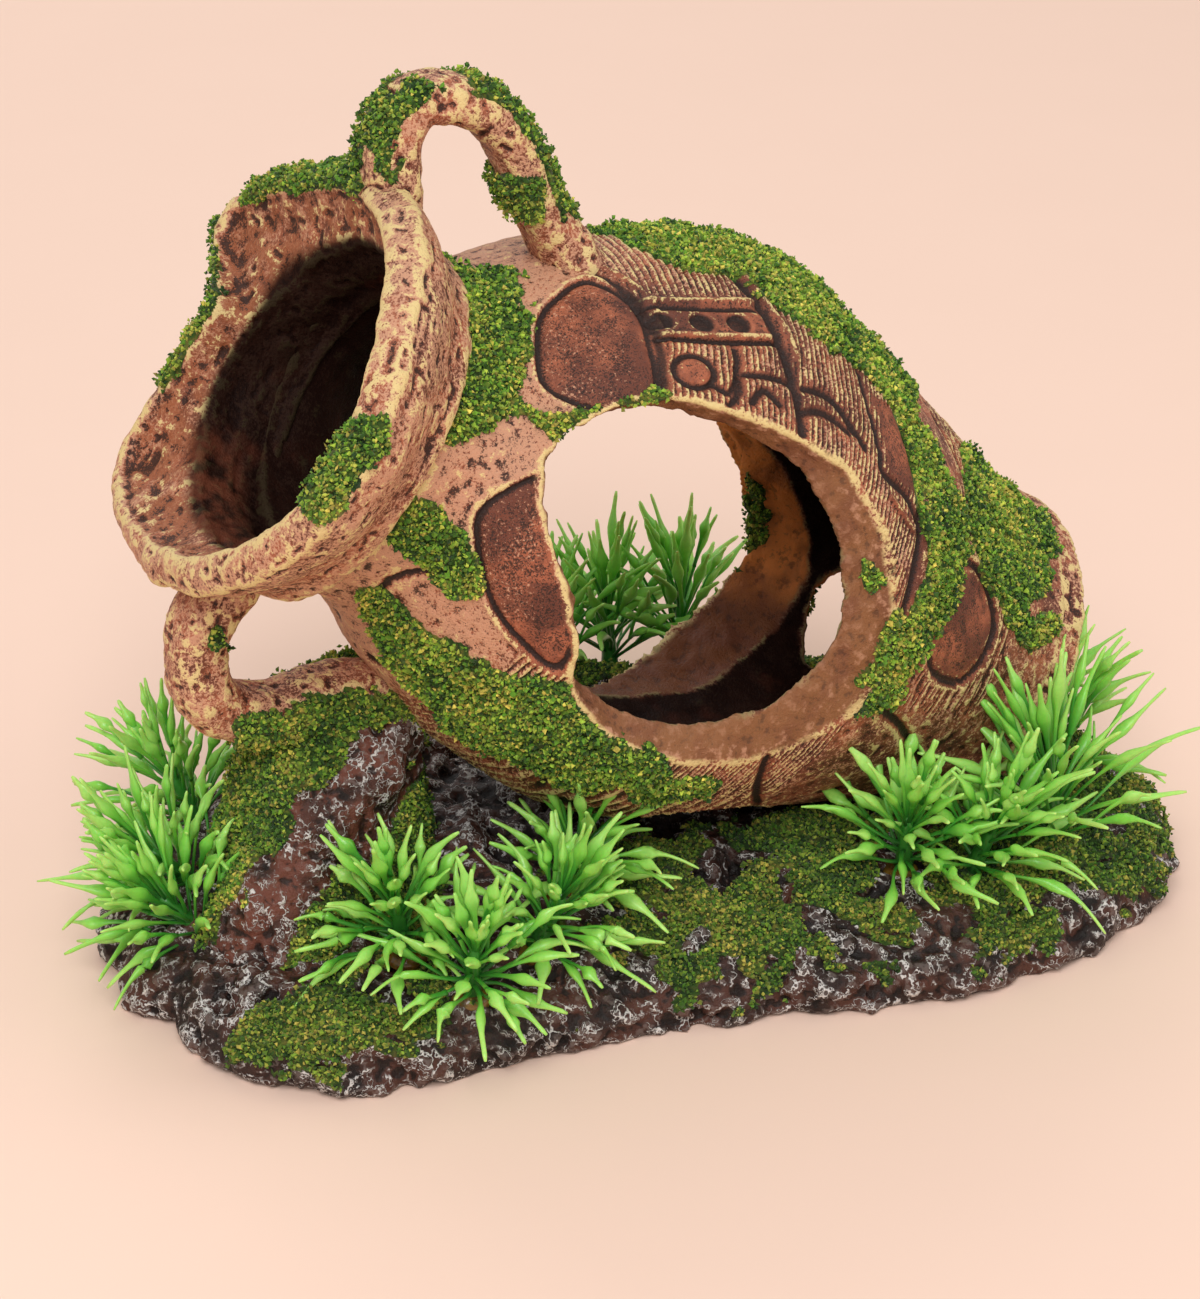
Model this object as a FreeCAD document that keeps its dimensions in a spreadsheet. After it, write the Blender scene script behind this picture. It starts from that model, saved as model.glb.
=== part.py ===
import FreeCAD, Part
import Sketcher
import math
import os

from FreeCAD import Placement, Rotation, Vector

# Amphora cave ornament: a broken, hollow jar lies mouth up on a rock plinth, with moss and soft plants.
# Millimetres. +Z is up, the origin is on the plinth's underside, X runs along the plinth towards the
# jar's foot, and Y runs away from the side that faces the viewer.

doc = FreeCAD.newDocument("amphora_cave")

# ---------------------------------------------------------------- driving dimensions
DIMENSIONS = {
    # the jar's own frame: local X is its axis, from the mouth's centre to the foot
    "mouth_x": -72.0, "mouth_y": -5.0, "mouth_z": 116.0, "jar_pitch": 30.0, "jar_heading": -4.0,
    # outer profile: distance along the axis, and radius
    "neck_from": 6.0, "neck_to": 28.0, "neck_radius": 31.0,
    "shoulder_at": 42.0, "shoulder_radius": 41.0,
    "upper_belly_at": 58.0, "upper_belly_radius": 48.5,
    "belly_at": 80.0, "belly_radius": 53.0,
    "lower_belly_at": 102.0, "lower_belly_radius": 48.5,
    "taper_at": 126.0, "taper_radius": 40.5,
    "ankle_at": 150.0, "ankle_radius": 32.0,
    "wall": 5.5, "floor_thickness": 2.5,
    # collar round the mouth, and ring round the foot
    "collar_radius": 40.5, "collar_length": 16.0, "collar_lip": 2.0, "mouth_radius": 34.5,
    "foot_from": 157.0, "foot_to": 163.0, "foot_radius": 31.0, "foot_recess": 2.0,
    # handles
    "handle_radius": 5.6,
    # plinth
    "plinth_edge": 6.0, "plinth_top": 20.0,
    # plants
    "blade_radius": 2.1, "blade_root_radius": 0.75, "hub_radius": 1.9, "glue_radius": 4.5,
    "glue_height": 3.0, "glue_depth": 2.0,
    # moss
    "moss_thickness": 1.6,
}

sizes = doc.addObject("Spreadsheet::Sheet", "sizes")
for row, (alias, value) in enumerate(DIMENSIONS.items(), start=1):
    sizes.set(f"A{row}", alias)
    sizes.set(f"B{row}", str(value))
    sizes.setAlias(f"B{row}", alias)
doc.recompute()


def size(alias):
    return float(sizes.get(alias))


JAR_PLACE = Placement(
    Vector(size("mouth_x"), size("mouth_y"), size("mouth_z")),
    Rotation(size("jar_heading"), size("jar_pitch"), 0),
)
MOSS = size("moss_thickness")

# The jar's outer profile from neck to ankle, as (distance, radius) aliases.
PROFILE = [
    ("neck_to", "neck_radius"),
    ("shoulder_at", "shoulder_radius"),
    ("upper_belly_at", "upper_belly_radius"),
    ("belly_at", "belly_radius"),
    ("lower_belly_at", "lower_belly_radius"),
    ("taper_at", "taper_radius"),
    ("ankle_at", "ankle_radius"),
]


# ---------------------------------------------------------------- helpers
def newBody(label, placement=None):
    body = doc.addObject("PartDesign::Body", label)
    body.Label = label
    if placement is not None:
        body.Placement = placement
    return body


def originPlane(body, role):
    return next(item for item in body.Origin.OriginFeatures if item.Role == role)


def newSketch(body, name, role, offset=0.0):
    sketch = body.newObject("Sketcher::SketchObject", name)
    sketch.AttachmentSupport = (originPlane(body, role), [""])
    sketch.MapMode = "FlatFace"
    sketch.AttachmentOffset = Placement(Vector(0, 0, offset), Rotation())
    return sketch


def drawPolygon(sketch, points):
    """Closed outline of straight edges through (x, y) points."""
    corners = [Vector(x, y, 0) for x, y in points]
    for start, end in zip(corners, corners[1:] + corners[:1]):
        sketch.addGeometry(Part.LineSegment(start, end), False)


def drawSmoothLoop(sketch, points):
    """Closed smooth outline through (x, y) points."""
    loop = Part.BSplineCurve()
    loop.interpolate([Vector(x, y, 0) for x, y in points], PeriodicFlag=True)
    sketch.addGeometry(loop, False)


def bindPolygon(sketch, points, cells):
    """Closed outline whose corners are held by sheet cells: cells[i] is (x expression, y expression)."""
    drawPolygon(sketch, points)
    count = len(points)
    for index in range(count):
        sketch.addConstraint(Sketcher.Constraint("Coincident", index, 2, (index + 1) % count, 1))
    for index, (xCell, yCell) in enumerate(cells):
        for kind, cell, value in (
            ("DistanceX", xCell, points[index][0]), ("DistanceY", yCell, points[index][1]),
        ):
            number = sketch.addConstraint(Sketcher.Constraint(kind, -1, 1, index, 1, value))
            sketch.setExpression(f"Constraints[{number}]", cell)


def evaluate(cell):
    """The value of an expression made of sheet cells and plain numbers."""
    return sum(
        sign * (size(term[6:]) if term.startswith("sizes.") else float(term))
        for sign, term in splitTerms(cell)
    )


def splitTerms(cell):
    terms = []
    sign = 1
    for token in cell.split():
        if token in "+-":
            sign = 1 if token == "+" else -1
        else:
            terms.append((sign, token))
            sign = 1
    return terms


def boundProfile(body, name, cells):
    """Sketch on the body's XZ plane whose every corner follows the sheet."""
    sketch = newSketch(body, name, "XZ_Plane")
    bindPolygon(sketch, [(evaluate(x), evaluate(y)) for x, y in cells], cells)
    return sketch


def revolve(body, sketch, name, angle=360.0, kind="PartDesign::Revolution"):
    turned = body.newObject(kind, name)
    turned.Profile = sketch
    turned.ReferenceAxis = (sketch, ["H_Axis"])
    turned.Angle = angle
    sketch.Visibility = False
    doc.recompute()
    return turned


def cutWith(label, base, tools):
    """Part::Cut chain: base minus each tool in turn, the last one carrying the label."""
    result = base
    for index, tool in enumerate(tools):
        step = doc.addObject("Part::Cut", f"{label}_less_{index}")
        step.Base = result
        step.Tool = tool
        result = step
    doc.recompute()
    result.Label = label
    return result


def solidFeature(label, shape, placement=None):
    feature = doc.addObject("Part::Feature", label)
    feature.Label = label
    feature.Shape = shape
    if placement is not None:
        feature.Placement = placement
    return feature


def cell(alias, extra=""):
    return f"sizes.{alias}{extra}"


pieces = []


# ---------------------------------------------------------------- jar
def outerCells():
    return [(cell(at), cell(radius)) for at, radius in PROFILE]


def innerCells():
    return [(cell(at), cell(radius, " - sizes.wall")) for at, radius in PROFILE]


def jarForm():
    """The jar's outside as one filled solid, which shapes the seat in the plinth."""
    body = newBody("jar_form", JAR_PLACE)
    sketch = boundProfile(body, "form_profile", [
        (cell("neck_from"), "0"), (cell("neck_from"), cell("neck_radius")), *outerCells(),
        (cell("foot_from"), cell("ankle_radius", " - 2")), (cell("foot_from"), cell("foot_radius")),
        (cell("foot_to"), cell("foot_radius")), (cell("foot_to"), "0"),
    ])
    revolve(body, sketch, "form")
    return body


# Windows broken through the wall, as outlines (distance along the axis, height across it).
FRONT_WINDOW = [(34, 14), (39, 25), (50, 31), (64, 30), (77, 25), (87, 14), (93, -2), (91, -16),
                (80, -24), (64, -26), (52, -21), (44, -8), (37, 2)]
REAR_WINDOW = [(62, 20), (78, 31), (96, 28), (111, 17), (123, 2), (126, -14), (116, -30), (98, -38),
               (80, -36), (68, -20), (60, 0)]
SIDE_HOLE = {"at": 150.5, "height": -13.0, "radius": 6.5}


def jarShell():
    """Hollow jar: neck, belly and ankle in one wall, with three broken windows."""
    body = newBody("jar_shell", JAR_PLACE)
    outside = boundProfile(body, "outside", [
        (cell("neck_from"), "0"), (cell("neck_from"), cell("neck_radius")), *outerCells(),
        (cell("foot_from"), cell("ankle_radius", " - 2")), (cell("foot_from"), "0"),
    ])
    revolve(body, outside, "wall_outside")
    inside = boundProfile(body, "inside", [
        (cell("neck_from", " - 1"), "0"), (cell("neck_from", " - 1"), cell("neck_radius", " - sizes.wall")),
        *innerCells(),
        (cell("foot_from", " - sizes.floor_thickness"), cell("ankle_radius", " - sizes.wall - 1")),
        (cell("foot_from", " - sizes.floor_thickness"), "0"),
    ])
    revolve(body, inside, "wall_inside", kind="PartDesign::Groove")
    # the sketch normal points to the front, so a reversed pocket opens the front wall
    for name, outline, toFront in (("front_window", FRONT_WINDOW, True), ("rear_window", REAR_WINDOW, False)):
        sketch = newSketch(body, name + "_outline", "XZ_Plane")
        drawSmoothLoop(sketch, outline)
        breakOut(body, sketch, name, toFront)
    sketch = newSketch(body, "side_hole_outline", "XZ_Plane")
    centre = Vector(SIDE_HOLE["at"], SIDE_HOLE["height"], 0)
    sketch.addGeometry(Part.Circle(centre, Vector(0, 0, 1), SIDE_HOLE["radius"]), False)
    breakOut(body, sketch, "side_hole", False)
    return body


def breakOut(body, sketch, name, toFront):
    before = body.Shape.Volume
    pocket = body.newObject("PartDesign::Pocket", name)
    pocket.Profile = sketch
    pocket.Length = size("belly_radius") + 10
    pocket.Reversed = toFront
    sketch.Visibility = False
    doc.recompute()
    if body.Shape.Volume > before - 50:
        raise ValueError(f"{name} cuts nothing")


def rimCollar():
    """Flared collar round the mouth, seated on the neck."""
    body = newBody("rim_collar", JAR_PLACE)
    sketch = boundProfile(body, "collar_profile", [
        (cell("neck_from"), cell("neck_radius", " - 2")),
        ("1", cell("mouth_radius", " - 1.5")),
        ("- sizes.collar_lip", cell("mouth_radius", " + 1")),
        ("- sizes.collar_lip", cell("collar_radius", " - 2")),
        ("1.5", cell("collar_radius")),
        (cell("collar_length", " - 7"), cell("collar_radius")),
        (cell("collar_length"), cell("neck_radius", " + 4")),
        (cell("collar_length", " + 1"), cell("neck_radius")),
        (cell("neck_from"), cell("neck_radius")),
    ])
    revolve(body, sketch, "collar")
    return body


def footRing():
    """Foot disc with a shallow recess under it."""
    body = newBody("foot_ring", JAR_PLACE)
    sketch = boundProfile(body, "foot_profile", [
        (cell("foot_from"), "0"), (cell("foot_from"), cell("foot_radius")),
        (cell("foot_to"), cell("foot_radius")), (cell("foot_to"), cell("foot_radius", " - 5")),
        (cell("foot_to", " - sizes.foot_recess"), cell("foot_radius", " - 7")),
        (cell("foot_to", " - sizes.foot_recess"), "0"),
    ])
    revolve(body, sketch, "foot")
    return body


# ---------------------------------------------------------------- handles
# Centre lines in the jar's XZ plane, from the collar to the shoulder.
UPPER_HANDLE = [(2.5, 37), (1.5, 50), (8, 59.5), (20, 58.5), (30, 48.5), (43, 38.5)]
LOWER_HANDLE = [(9.5, -37), (9.5, -48), (17, -57), (28, -55), (38, -48), (54, -43)]


def roundedRoute(points):
    """Straight runs joined by tangent arcs, as sketch geometry."""
    corners = [Vector(x, y, 0) for x, y in points]
    geometry = []
    start = corners[0]
    for before, corner, after in zip(corners, corners[1:], corners[2:]):
        inward = (before - corner).normalize()
        outward = (after - corner).normalize()
        turn = math.pi - inward.getAngle(outward)
        trim = 0.45 * min((before - corner).Length, (after - corner).Length)
        radius = trim / math.tan(turn / 2)
        bisector = (inward + outward).normalize()
        centre = corner + bisector * math.hypot(trim, radius)
        first = corner + inward * trim
        last = corner + outward * trim
        middle = centre - bisector * radius
        geometry.append(Part.LineSegment(start, first))
        geometry.append(Part.Arc(first, middle, last))
        start = last
    geometry.append(Part.LineSegment(start, corners[-1]))
    return geometry


def handlePipe(label, points, radius):
    body = newBody(label, JAR_PLACE)
    route = newSketch(body, label + "_route", "XZ_Plane")
    for edge in roundedRoute(points):
        route.addGeometry(edge, False)
    section = newSketch(body, label + "_section", "XY_Plane", offset=points[0][1])
    section.addGeometry(Part.Circle(Vector(points[0][0], 0, 0), Vector(0, 0, 1), radius), False)
    doc.recompute()
    pipe = body.newObject("PartDesign::AdditivePipe", label + "_pipe")
    pipe.Profile = section
    pipe.Spine = (route, [])
    route.Visibility = False
    section.Visibility = False
    doc.recompute()
    return body


# ---------------------------------------------------------------- plinth and outcrop
PLINTH_CENTRE = (-5.0, -5.0)
PLINTH_OUTLINE = [(-103, 4), (-99, -20), (-92, -38), (-76, -50), (-45, -54), (-12, -61), (20, -73),
                  (52, -75), (80, -67), (92, -50), (95, -22), (85, 14), (58, 44), (22, 56), (-22, 58),
                  (-62, 50), (-90, 32)]
# height, and how much of the outline is left there
PLINTH_LEVELS = [("0", 1.0), ("sizes.plinth_edge", 0.99), ("sizes.plinth_edge + 5", 0.93),
                 ("sizes.plinth_top - 4", 0.80), ("sizes.plinth_top", 0.55)]
OUTCROP_LEVELS = [
    (6, [(-86, -20), (-70, -27), (-46, -17), (-42, 8), (-60, 22), (-80, 14)]),
    (26, [(-82, -14), (-70, -20), (-48, -12), (-43, 8), (-58, 18), (-77, 12)]),
    (44, [(-76, -11), (-66, -14), (-48, -9), (-43, 6), (-56, 13), (-71, 10)]),
    (56, [(-64, -8), (-58, -10), (-47, -7), (-42, 3), (-51, 9), (-61, 7)]),
]


def loftBody(label, sections):
    """Solid lofted through level outlines, given as (height expression or number, points)."""
    body = newBody(label)
    outlines = []
    for index, (height, points) in enumerate(sections):
        sketch = newSketch(body, f"{label}_level_{index}", "XY_Plane")
        if isinstance(height, str):
            sketch.setExpression("AttachmentOffset.Base.z", height)
        else:
            sketch.AttachmentOffset = Placement(Vector(0, 0, height), Rotation())
        drawSmoothLoop(sketch, points)
        outlines.append(sketch)
    doc.recompute()
    loft = body.newObject("PartDesign::AdditiveLoft", label + "_loft")
    loft.Profile = outlines[0]
    loft.Sections = outlines[1:]
    loft.Ruled = True
    for sketch in outlines:
        sketch.Visibility = False
    doc.recompute()
    return body


def shrunkOutline(share):
    cx, cy = PLINTH_CENTRE
    return [(cx + share * (x - cx), cy + share * (y - cy)) for x, y in PLINTH_OUTLINE]


def topHeight(shape, x, y):
    """Where a vertical line at (x, y) leaves the solid."""
    probe = Part.makeLine(Vector(x, y, -1), Vector(x, y, 120))
    return shape.common(probe).BoundBox.ZMax


# ---------------------------------------------------------------- plants
# Each clump: where its sprigs are rooted, which way each leans (degrees round Z) and by how much,
# and its blade length.
CLUMPS = {
    "left": [(-86, 10, 165, 25, 26), (-90, -12, 215, 25, 24), (-74, 30, 125, 20, 26)],
    "front": [(-63, -32, 215, 22, 25), (-58, -46, 250, 25, 24), (-43, -42, 300, 25, 26),
              (-31, -30, 330, 20, 25)],
    "right": [(28, -51, 240, 25, 24), (40, -58, 270, 25, 24), (54, -53, 300, 20, 26), (74, -38, 330, 15, 27),
              (82, -14, 0, 15, 26)],
    "rear": [(14, 48, 110, 15, 25), (27, 46, 80, 15, 27), (38, 40, 60, 20, 24)],
}
# blades in one whorl, their rise above level, where they leave the stem, and their share of the length
WHORLS = [(7, 27.0, 2.0, 0.95), (6, 48.0, 3.5, 1.0), (4, 70.0, 5.0, 0.9)]


def bladeOutline(rise, height, length):
    """Half outline of one spindle blade along its own axis, turned up by rise, from the stem's middle."""
    root = size("blade_root_radius")
    swell = size("blade_radius")
    half = [(0, 0), (0, root), (0.45 * length, root), (0.68 * length, swell), (length, 0.25), (length, 0)]
    lift = math.radians(rise)
    return [
        (x * math.cos(lift) - y * math.sin(lift), height + x * math.sin(lift) + y * math.cos(lift))
        for x, y in half
    ]


def sprigBody(label, root, heading, lean, length):
    """One soft plastic sprig: a short stem with whorls of spindle blades."""
    turn = Rotation(heading, 0, 0).multiply(Rotation(Vector(0, 1, 0), lean))
    body = newBody(label, Placement(root, turn))
    stem = newSketch(body, label + "_stem_outline", "XZ_Plane")
    top = WHORLS[-1][2] + 1.5
    hub = size("hub_radius")
    drawPolygon(stem, [(0, 0), (hub, 0), (hub, top - 1), (0.5 * hub, top), (0, top)])
    turned = body.newObject("PartDesign::Revolution", label + "_stem")
    turned.Profile = stem
    turned.ReferenceAxis = (stem, ["V_Axis"])
    turned.Angle = 360
    doc.recompute()
    upAxis = originPlane(body, "Z_Axis")
    for index, (count, rise, height, share) in enumerate(WHORLS):
        outline = newSketch(body, f"{label}_blade_{index}_outline", "XZ_Plane")
        drawPolygon(outline, bladeOutline(rise, height, share * length))
        edges = len(bladeOutline(rise, height, length)) - 1
        blade = body.newObject("PartDesign::Revolution", f"{label}_blade_{index}")
        blade.Profile = outline
        blade.ReferenceAxis = (outline, [f"Edge{edges + 1}"])
        blade.Angle = 360
        doc.recompute()
        whorl = body.newObject("PartDesign::PolarPattern", f"{label}_whorl_{index}")
        whorl.Originals = [blade]
        whorl.Axis = (upAxis, [""])
        whorl.Angle = 360
        whorl.Occurrences = count
        body.Tip = whorl
        doc.recompute()
    return body


# ---------------------------------------------------------------- moss
# Patches on the jar: from and to along the axis, then from and to round it (0 top, 90 front).
JAR_MOSS = {
    "moss_shoulder": (17.5, 36, 5, 60),
    "moss_neck_side": (17.5, 38, 98, 125),
    "moss_belly": (38, 84, 124, 150),
    "moss_back": (58, 108, -20, 22),
    "moss_flank": (108, 124, 30, 90),
    "moss_ankle": (130, 149, 15, 60),
}
COLLAR_MOSS = {"moss_rim_top": (-60, -5), "moss_rim_side": (88, 125)}
# Patches on the plinth: centre and radii across and along.
PLINTH_MOSS = {
    "moss_plinth_left": (-82, -35, 14, 9),
    "moss_plinth_middle": (-4, -50, 24, 13),
    "moss_plinth_right": (56, -64, 30, 8),
    "moss_plinth_rear": (-30, 42, 24, 9),
}
OUTCROP_MOSS = {"moss_outcrop_top": (-58, 2, 12, 10), "moss_outcrop_side": (-58, -18, 11, 6)}
# Sleeves of moss on the handles, as boxes in the jar's frame: low corner and size.
HANDLE_MOSS = {
    "moss_handle_top": ((12, -9, 51), (24, 18, 20)),
    "moss_handle_front": ((-6, -9, 46), (8, 18, 14)),
}


def jarRadius(at):
    stations = [(size("neck_from"), size("neck_radius"))] + [(size(a), size(r)) for a, r in PROFILE]
    for (atA, radiusA), (atB, radiusB) in zip(stations, stations[1:]):
        if atA <= at <= atB:
            return radiusA + (radiusB - radiusA) * (at - atA) / (atB - atA)
    raise ValueError(f"no wall at {at}")


def mossStrip(label, bottom, angleFrom, angleTo):
    """A skin on the jar: the strip above the bottom line, turned part of the way round the axis."""
    body = newBody(label, JAR_PLACE.multiply(Placement(Vector(), Rotation(Vector(1, 0, 0), angleFrom))))
    sketch = newSketch(body, label + "_strip", "XZ_Plane")
    top = [(at, radius + MOSS) for at, radius in bottom]
    drawPolygon(sketch, bottom + top[::-1])
    revolve(body, sketch, label + "_skin", angleTo - angleFrom)
    return body


def jarMossLine(start, end):
    stations = [size(at) for at, radius in PROFILE if start < size(at) < end]
    return [(at, jarRadius(at)) for at in [start, *stations, end]]


def mossSheet(label, rock, outline, clearOf):
    """A skin over a rock: the rock's own upper surface raised, kept inside an outline."""
    raised = rock.Shape.copy()
    raised.translate(Vector(0, 0, MOSS))
    skin = raised.common(outline).cut([item.Shape for item in [rock, *clearOf]])
    largest = max(skin.Solids, key=lambda solid: solid.Volume)
    return solidFeature(label, largest)


def ellipsePrism(x, y, alongX, alongY):
    ring = Part.Ellipse(Vector(x, y, 5), max(alongX, alongY), min(alongX, alongY)).toShape()
    return Part.Face(Part.Wire(ring)).extrude(Vector(0, 0, 60))


# ---------------------------------------------------------------- assembly
form = jarForm()
shell = jarShell()
collar = rimCollar()
foot = footRing()
pieces += [shell, collar, foot]

upper = cutWith("upper_handle", handlePipe("upper_pipe", UPPER_HANDLE, size("handle_radius")), [form, collar])
lower = cutWith("lower_handle", handlePipe("lower_pipe", LOWER_HANDLE, size("handle_radius")), [form, collar])
pieces += [upper, lower]

mound = loftBody("plinth_mound", [(height, shrunkOutline(share)) for height, share in PLINTH_LEVELS])

roots = {}
glue = {}
for clump, sprigs in CLUMPS.items():
    roots[clump] = []
    pads = []
    for x, y, heading, lean, length in sprigs:
        z = topHeight(mound.Shape, x, y)
        roots[clump].append(Vector(x, y, z + size("glue_height")))
        pad = Part.makeCone(
            size("glue_radius") + 1, size("glue_radius") - 1.5, size("glue_height") + size("glue_depth"),
            Vector(x, y, z - size("glue_depth")),
        )
        pads.append(pad)
    glue[clump] = solidFeature(f"glue_{clump}", Part.makeCompound(pads))
pieces += list(glue.values())

plinth = cutWith("rock_plinth", mound, [form, *glue.values()])
pieces.append(plinth)

outcrop = cutWith("rock_outcrop", loftBody("outcrop_form", OUTCROP_LEVELS), [lower, form, mound])
pieces.append(outcrop)

for clump, sprigs in CLUMPS.items():
    for index, (x, y, heading, lean, length) in enumerate(sprigs, start=1):
        name = f"sprig_{clump}_{index}"
        sprig = sprigBody(f"{name}_form", roots[clump][index - 1], heading, lean, length)
        pieces.append(cutWith(name, sprig, [form, plinth, outcrop]))

for label, (start, end, angleFrom, angleTo) in JAR_MOSS.items():
    pieces.append(mossStrip(label, jarMossLine(start, end), angleFrom, angleTo))
for label, (angleFrom, angleTo) in COLLAR_MOSS.items():
    ring = [(1.5, size("collar_radius")), (size("collar_length") - 7, size("collar_radius"))]
    pieces.append(mossStrip(label, ring, angleFrom, angleTo))
for label, (x, y, alongX, alongY) in PLINTH_MOSS.items():
    pieces.append(mossSheet(label, plinth, ellipsePrism(x, y, alongX, alongY), [outcrop, *glue.values()]))
for label, (x, y, alongX, alongY) in OUTCROP_MOSS.items():
    around = [form, lower, plinth, *glue.values()]
    pieces.append(mossSheet(label, outcrop, ellipsePrism(x, y, alongX, alongY), around))
sleeve = handlePipe("moss_sleeve", UPPER_HANDLE, size("handle_radius") + MOSS)
for label, (corner, extent) in HANDLE_MOSS.items():
    box = Part.makeBox(*extent, Vector(*corner))
    box.Placement = JAR_PLACE.multiply(box.Placement)
    pieces.append(solidFeature(label, sleeve.Shape.common(box).cut([upper.Shape, form.Shape, collar.Shape])))

# ---------------------------------------------------------------- check and write
doc.recompute()
for item in doc.Objects:
    if "Invalid" in item.State or "Error" in item.State:
        raise ValueError(f"{item.Label} did not build: {item.State}")
os.makedirs("parts", exist_ok=True)
for piece in pieces:
    shape = piece.Shape
    if shape.isNull() or not shape.isValid() or not shape.Solids:
        raise ValueError(f"{piece.Label} has no sound shape")
    shape.exportStep(f"parts/{piece.Label}.step")
    print(piece.Label, len(shape.Solids), round(shape.Volume))
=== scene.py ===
import math
import bmesh
import bpy
import numpy as np
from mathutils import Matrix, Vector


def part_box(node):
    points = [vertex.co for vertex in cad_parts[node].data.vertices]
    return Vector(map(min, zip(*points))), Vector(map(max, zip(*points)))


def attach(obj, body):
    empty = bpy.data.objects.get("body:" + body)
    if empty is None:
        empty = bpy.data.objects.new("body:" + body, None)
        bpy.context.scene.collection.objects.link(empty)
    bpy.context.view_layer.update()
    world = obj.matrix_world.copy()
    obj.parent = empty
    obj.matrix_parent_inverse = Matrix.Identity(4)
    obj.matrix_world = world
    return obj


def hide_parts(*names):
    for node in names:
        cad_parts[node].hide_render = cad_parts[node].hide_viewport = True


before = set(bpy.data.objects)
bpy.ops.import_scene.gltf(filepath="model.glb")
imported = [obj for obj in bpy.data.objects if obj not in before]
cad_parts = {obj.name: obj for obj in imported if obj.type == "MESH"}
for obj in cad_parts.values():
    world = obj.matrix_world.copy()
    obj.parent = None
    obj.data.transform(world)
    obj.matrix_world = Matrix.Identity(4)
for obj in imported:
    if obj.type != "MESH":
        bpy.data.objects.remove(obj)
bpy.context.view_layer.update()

import openvdb as vdb
from mathutils import Vector

# A broken clay jar on a rock, cast in resin for a fish tank, with glued moss and soft plastic grass.
# Lengths are worked out in millimetres and turned into metres when a mesh is made.
mm = 0.001


def middleOf(node):
    low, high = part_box(node)
    return np.array((low + high) / 2) / mm


def unit(v):
    return v / np.linalg.norm(v)


# The jar's own directions: along runs from mouth to foot, lift is its upper side, across its far side.
footMiddle = middleOf("foot_ring")
along = unit(footMiddle - middleOf("rim_collar"))
across = unit(np.cross((0, 0, 1), along))
lift = np.cross(along, across)
mouth = footMiddle - 160 * along


def toJar(points):
    rel = points - mouth
    return rel @ along, rel @ across, rel @ lift


def fromJar(s, y, u):
    return mouth + np.outer(s, along) + np.outer(y, across) + np.outer(u, lift)


def turnAround(y, u):
    return np.degrees(np.arctan2(-y, u))  # 0 on the upper side, 90 towards the front


# Small tools for numbers

def smooth01(x, low, high):
    t = np.clip((x - low) / (high - low), 0, 1)
    return t * t * (3 - 2 * t)


def blendMax(a, b, k):
    h = np.maximum(k - np.abs(a - b), 0) / k
    return np.maximum(a, b) + h * h * k / 4


def blendMin(a, b, k):
    return -blendMax(-a, -b, k)


def unit2(a, b):
    size = np.hypot(a, b) + 1e-9
    return a / size, b / size


def lumps(points, wave, seed):
    # smooth random numbers from -1 to 1 that change over one wave
    size = 24
    table = np.random.default_rng(seed).random((size, size, size)).astype(np.float32) * 2 - 1
    place = points / wave + 400.0
    cell = np.floor(place).astype(np.int32)
    part = (place - cell).astype(np.float32)
    part = part * part * (3 - 2 * part)
    near, far = cell % size, (cell + 1) % size
    total = np.zeros(len(points), np.float32)
    for cornerX, weightX in ((near[:, 0], 1 - part[:, 0]), (far[:, 0], part[:, 0])):
        for cornerY, weightY in ((near[:, 1], 1 - part[:, 1]), (far[:, 1], part[:, 1])):
            for cornerZ, weightZ in ((near[:, 2], 1 - part[:, 2]), (far[:, 2], part[:, 2])):
                total += table[cornerX, cornerY, cornerZ] * weightX * weightY * weightZ
    return total


tilt = np.array(((0.36, 0.48, -0.8), (-0.8, 0.6, 0.0), (0.48, 0.64, 0.6)))


def rough(points, wave, layers, seed, ridged=False):
    total, share, turned = 0, 1.0, points
    for k in range(layers):
        turned = turned @ tilt
        part = lumps(turned, wave, seed + k)
        total = total + share * ((1 - 2 * np.abs(part)) if ridged else part)
        wave, share = wave / 2.05, share * 0.52
    return total


def curveThrough(knots, steps=8, closed=False):
    knots = np.array(knots, float)
    n = len(knots)
    out = []
    for i in range(n if closed else n - 1):
        if closed:
            a, b, c, d = (knots[(i + k) % n] for k in (-1, 0, 1, 2))
        else:
            a, b, c, d = (knots[min(max(i + k, 0), n - 1)] for k in (-1, 0, 1, 2))
        for t in np.arange(steps) / steps:
            out.append(b + 0.5 * t * (c - a + t * (2 * a - 5 * b + 4 * c - d + t * (3 * (b - c) + d - a))))
    if not closed:
        out.append(knots[-1])
    return np.array(out)


def toLine(x, y, line, closed=False):
    # distance from points to a line of straight runs
    line = np.array(line, float)
    ends = np.roll(line, -1, axis=0) if closed else line[1:]
    best = np.full(np.shape(x), 1e9, np.float32)
    for a, b in zip(line, ends):
        run = b - a
        t = np.clip(((x - a[0]) * run[0] + (y - a[1]) * run[1]) / (run @ run + 1e-9), 0, 1)
        best = np.minimum(best, (x - a[0] - t * run[0]) ** 2 + (y - a[1] - t * run[1]) ** 2)
    return np.sqrt(best)


def toShape(x, y, loop):
    # the same with a sign: below 0 inside the closed loop
    loop = np.array(loop, float)
    inside = np.zeros(np.shape(x), bool)
    for a, b in zip(loop, np.roll(loop, -1, axis=0)):
        crosses = (a[1] > y) != (b[1] > y)
        inside ^= crosses & (x < (b[0] - a[0]) * (y - a[1]) / (b[1] - a[1] + 1e-12) + a[0])
    return np.where(inside, -1, 1) * toLine(x, y, loop, True)


# Small tools for meshes

def gridOf(low, high, step):
    axes = [np.arange(a, b + step, step, dtype=np.float32) for a, b in zip(low, high)]
    return np.meshgrid(*axes, indexing="ij")


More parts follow.
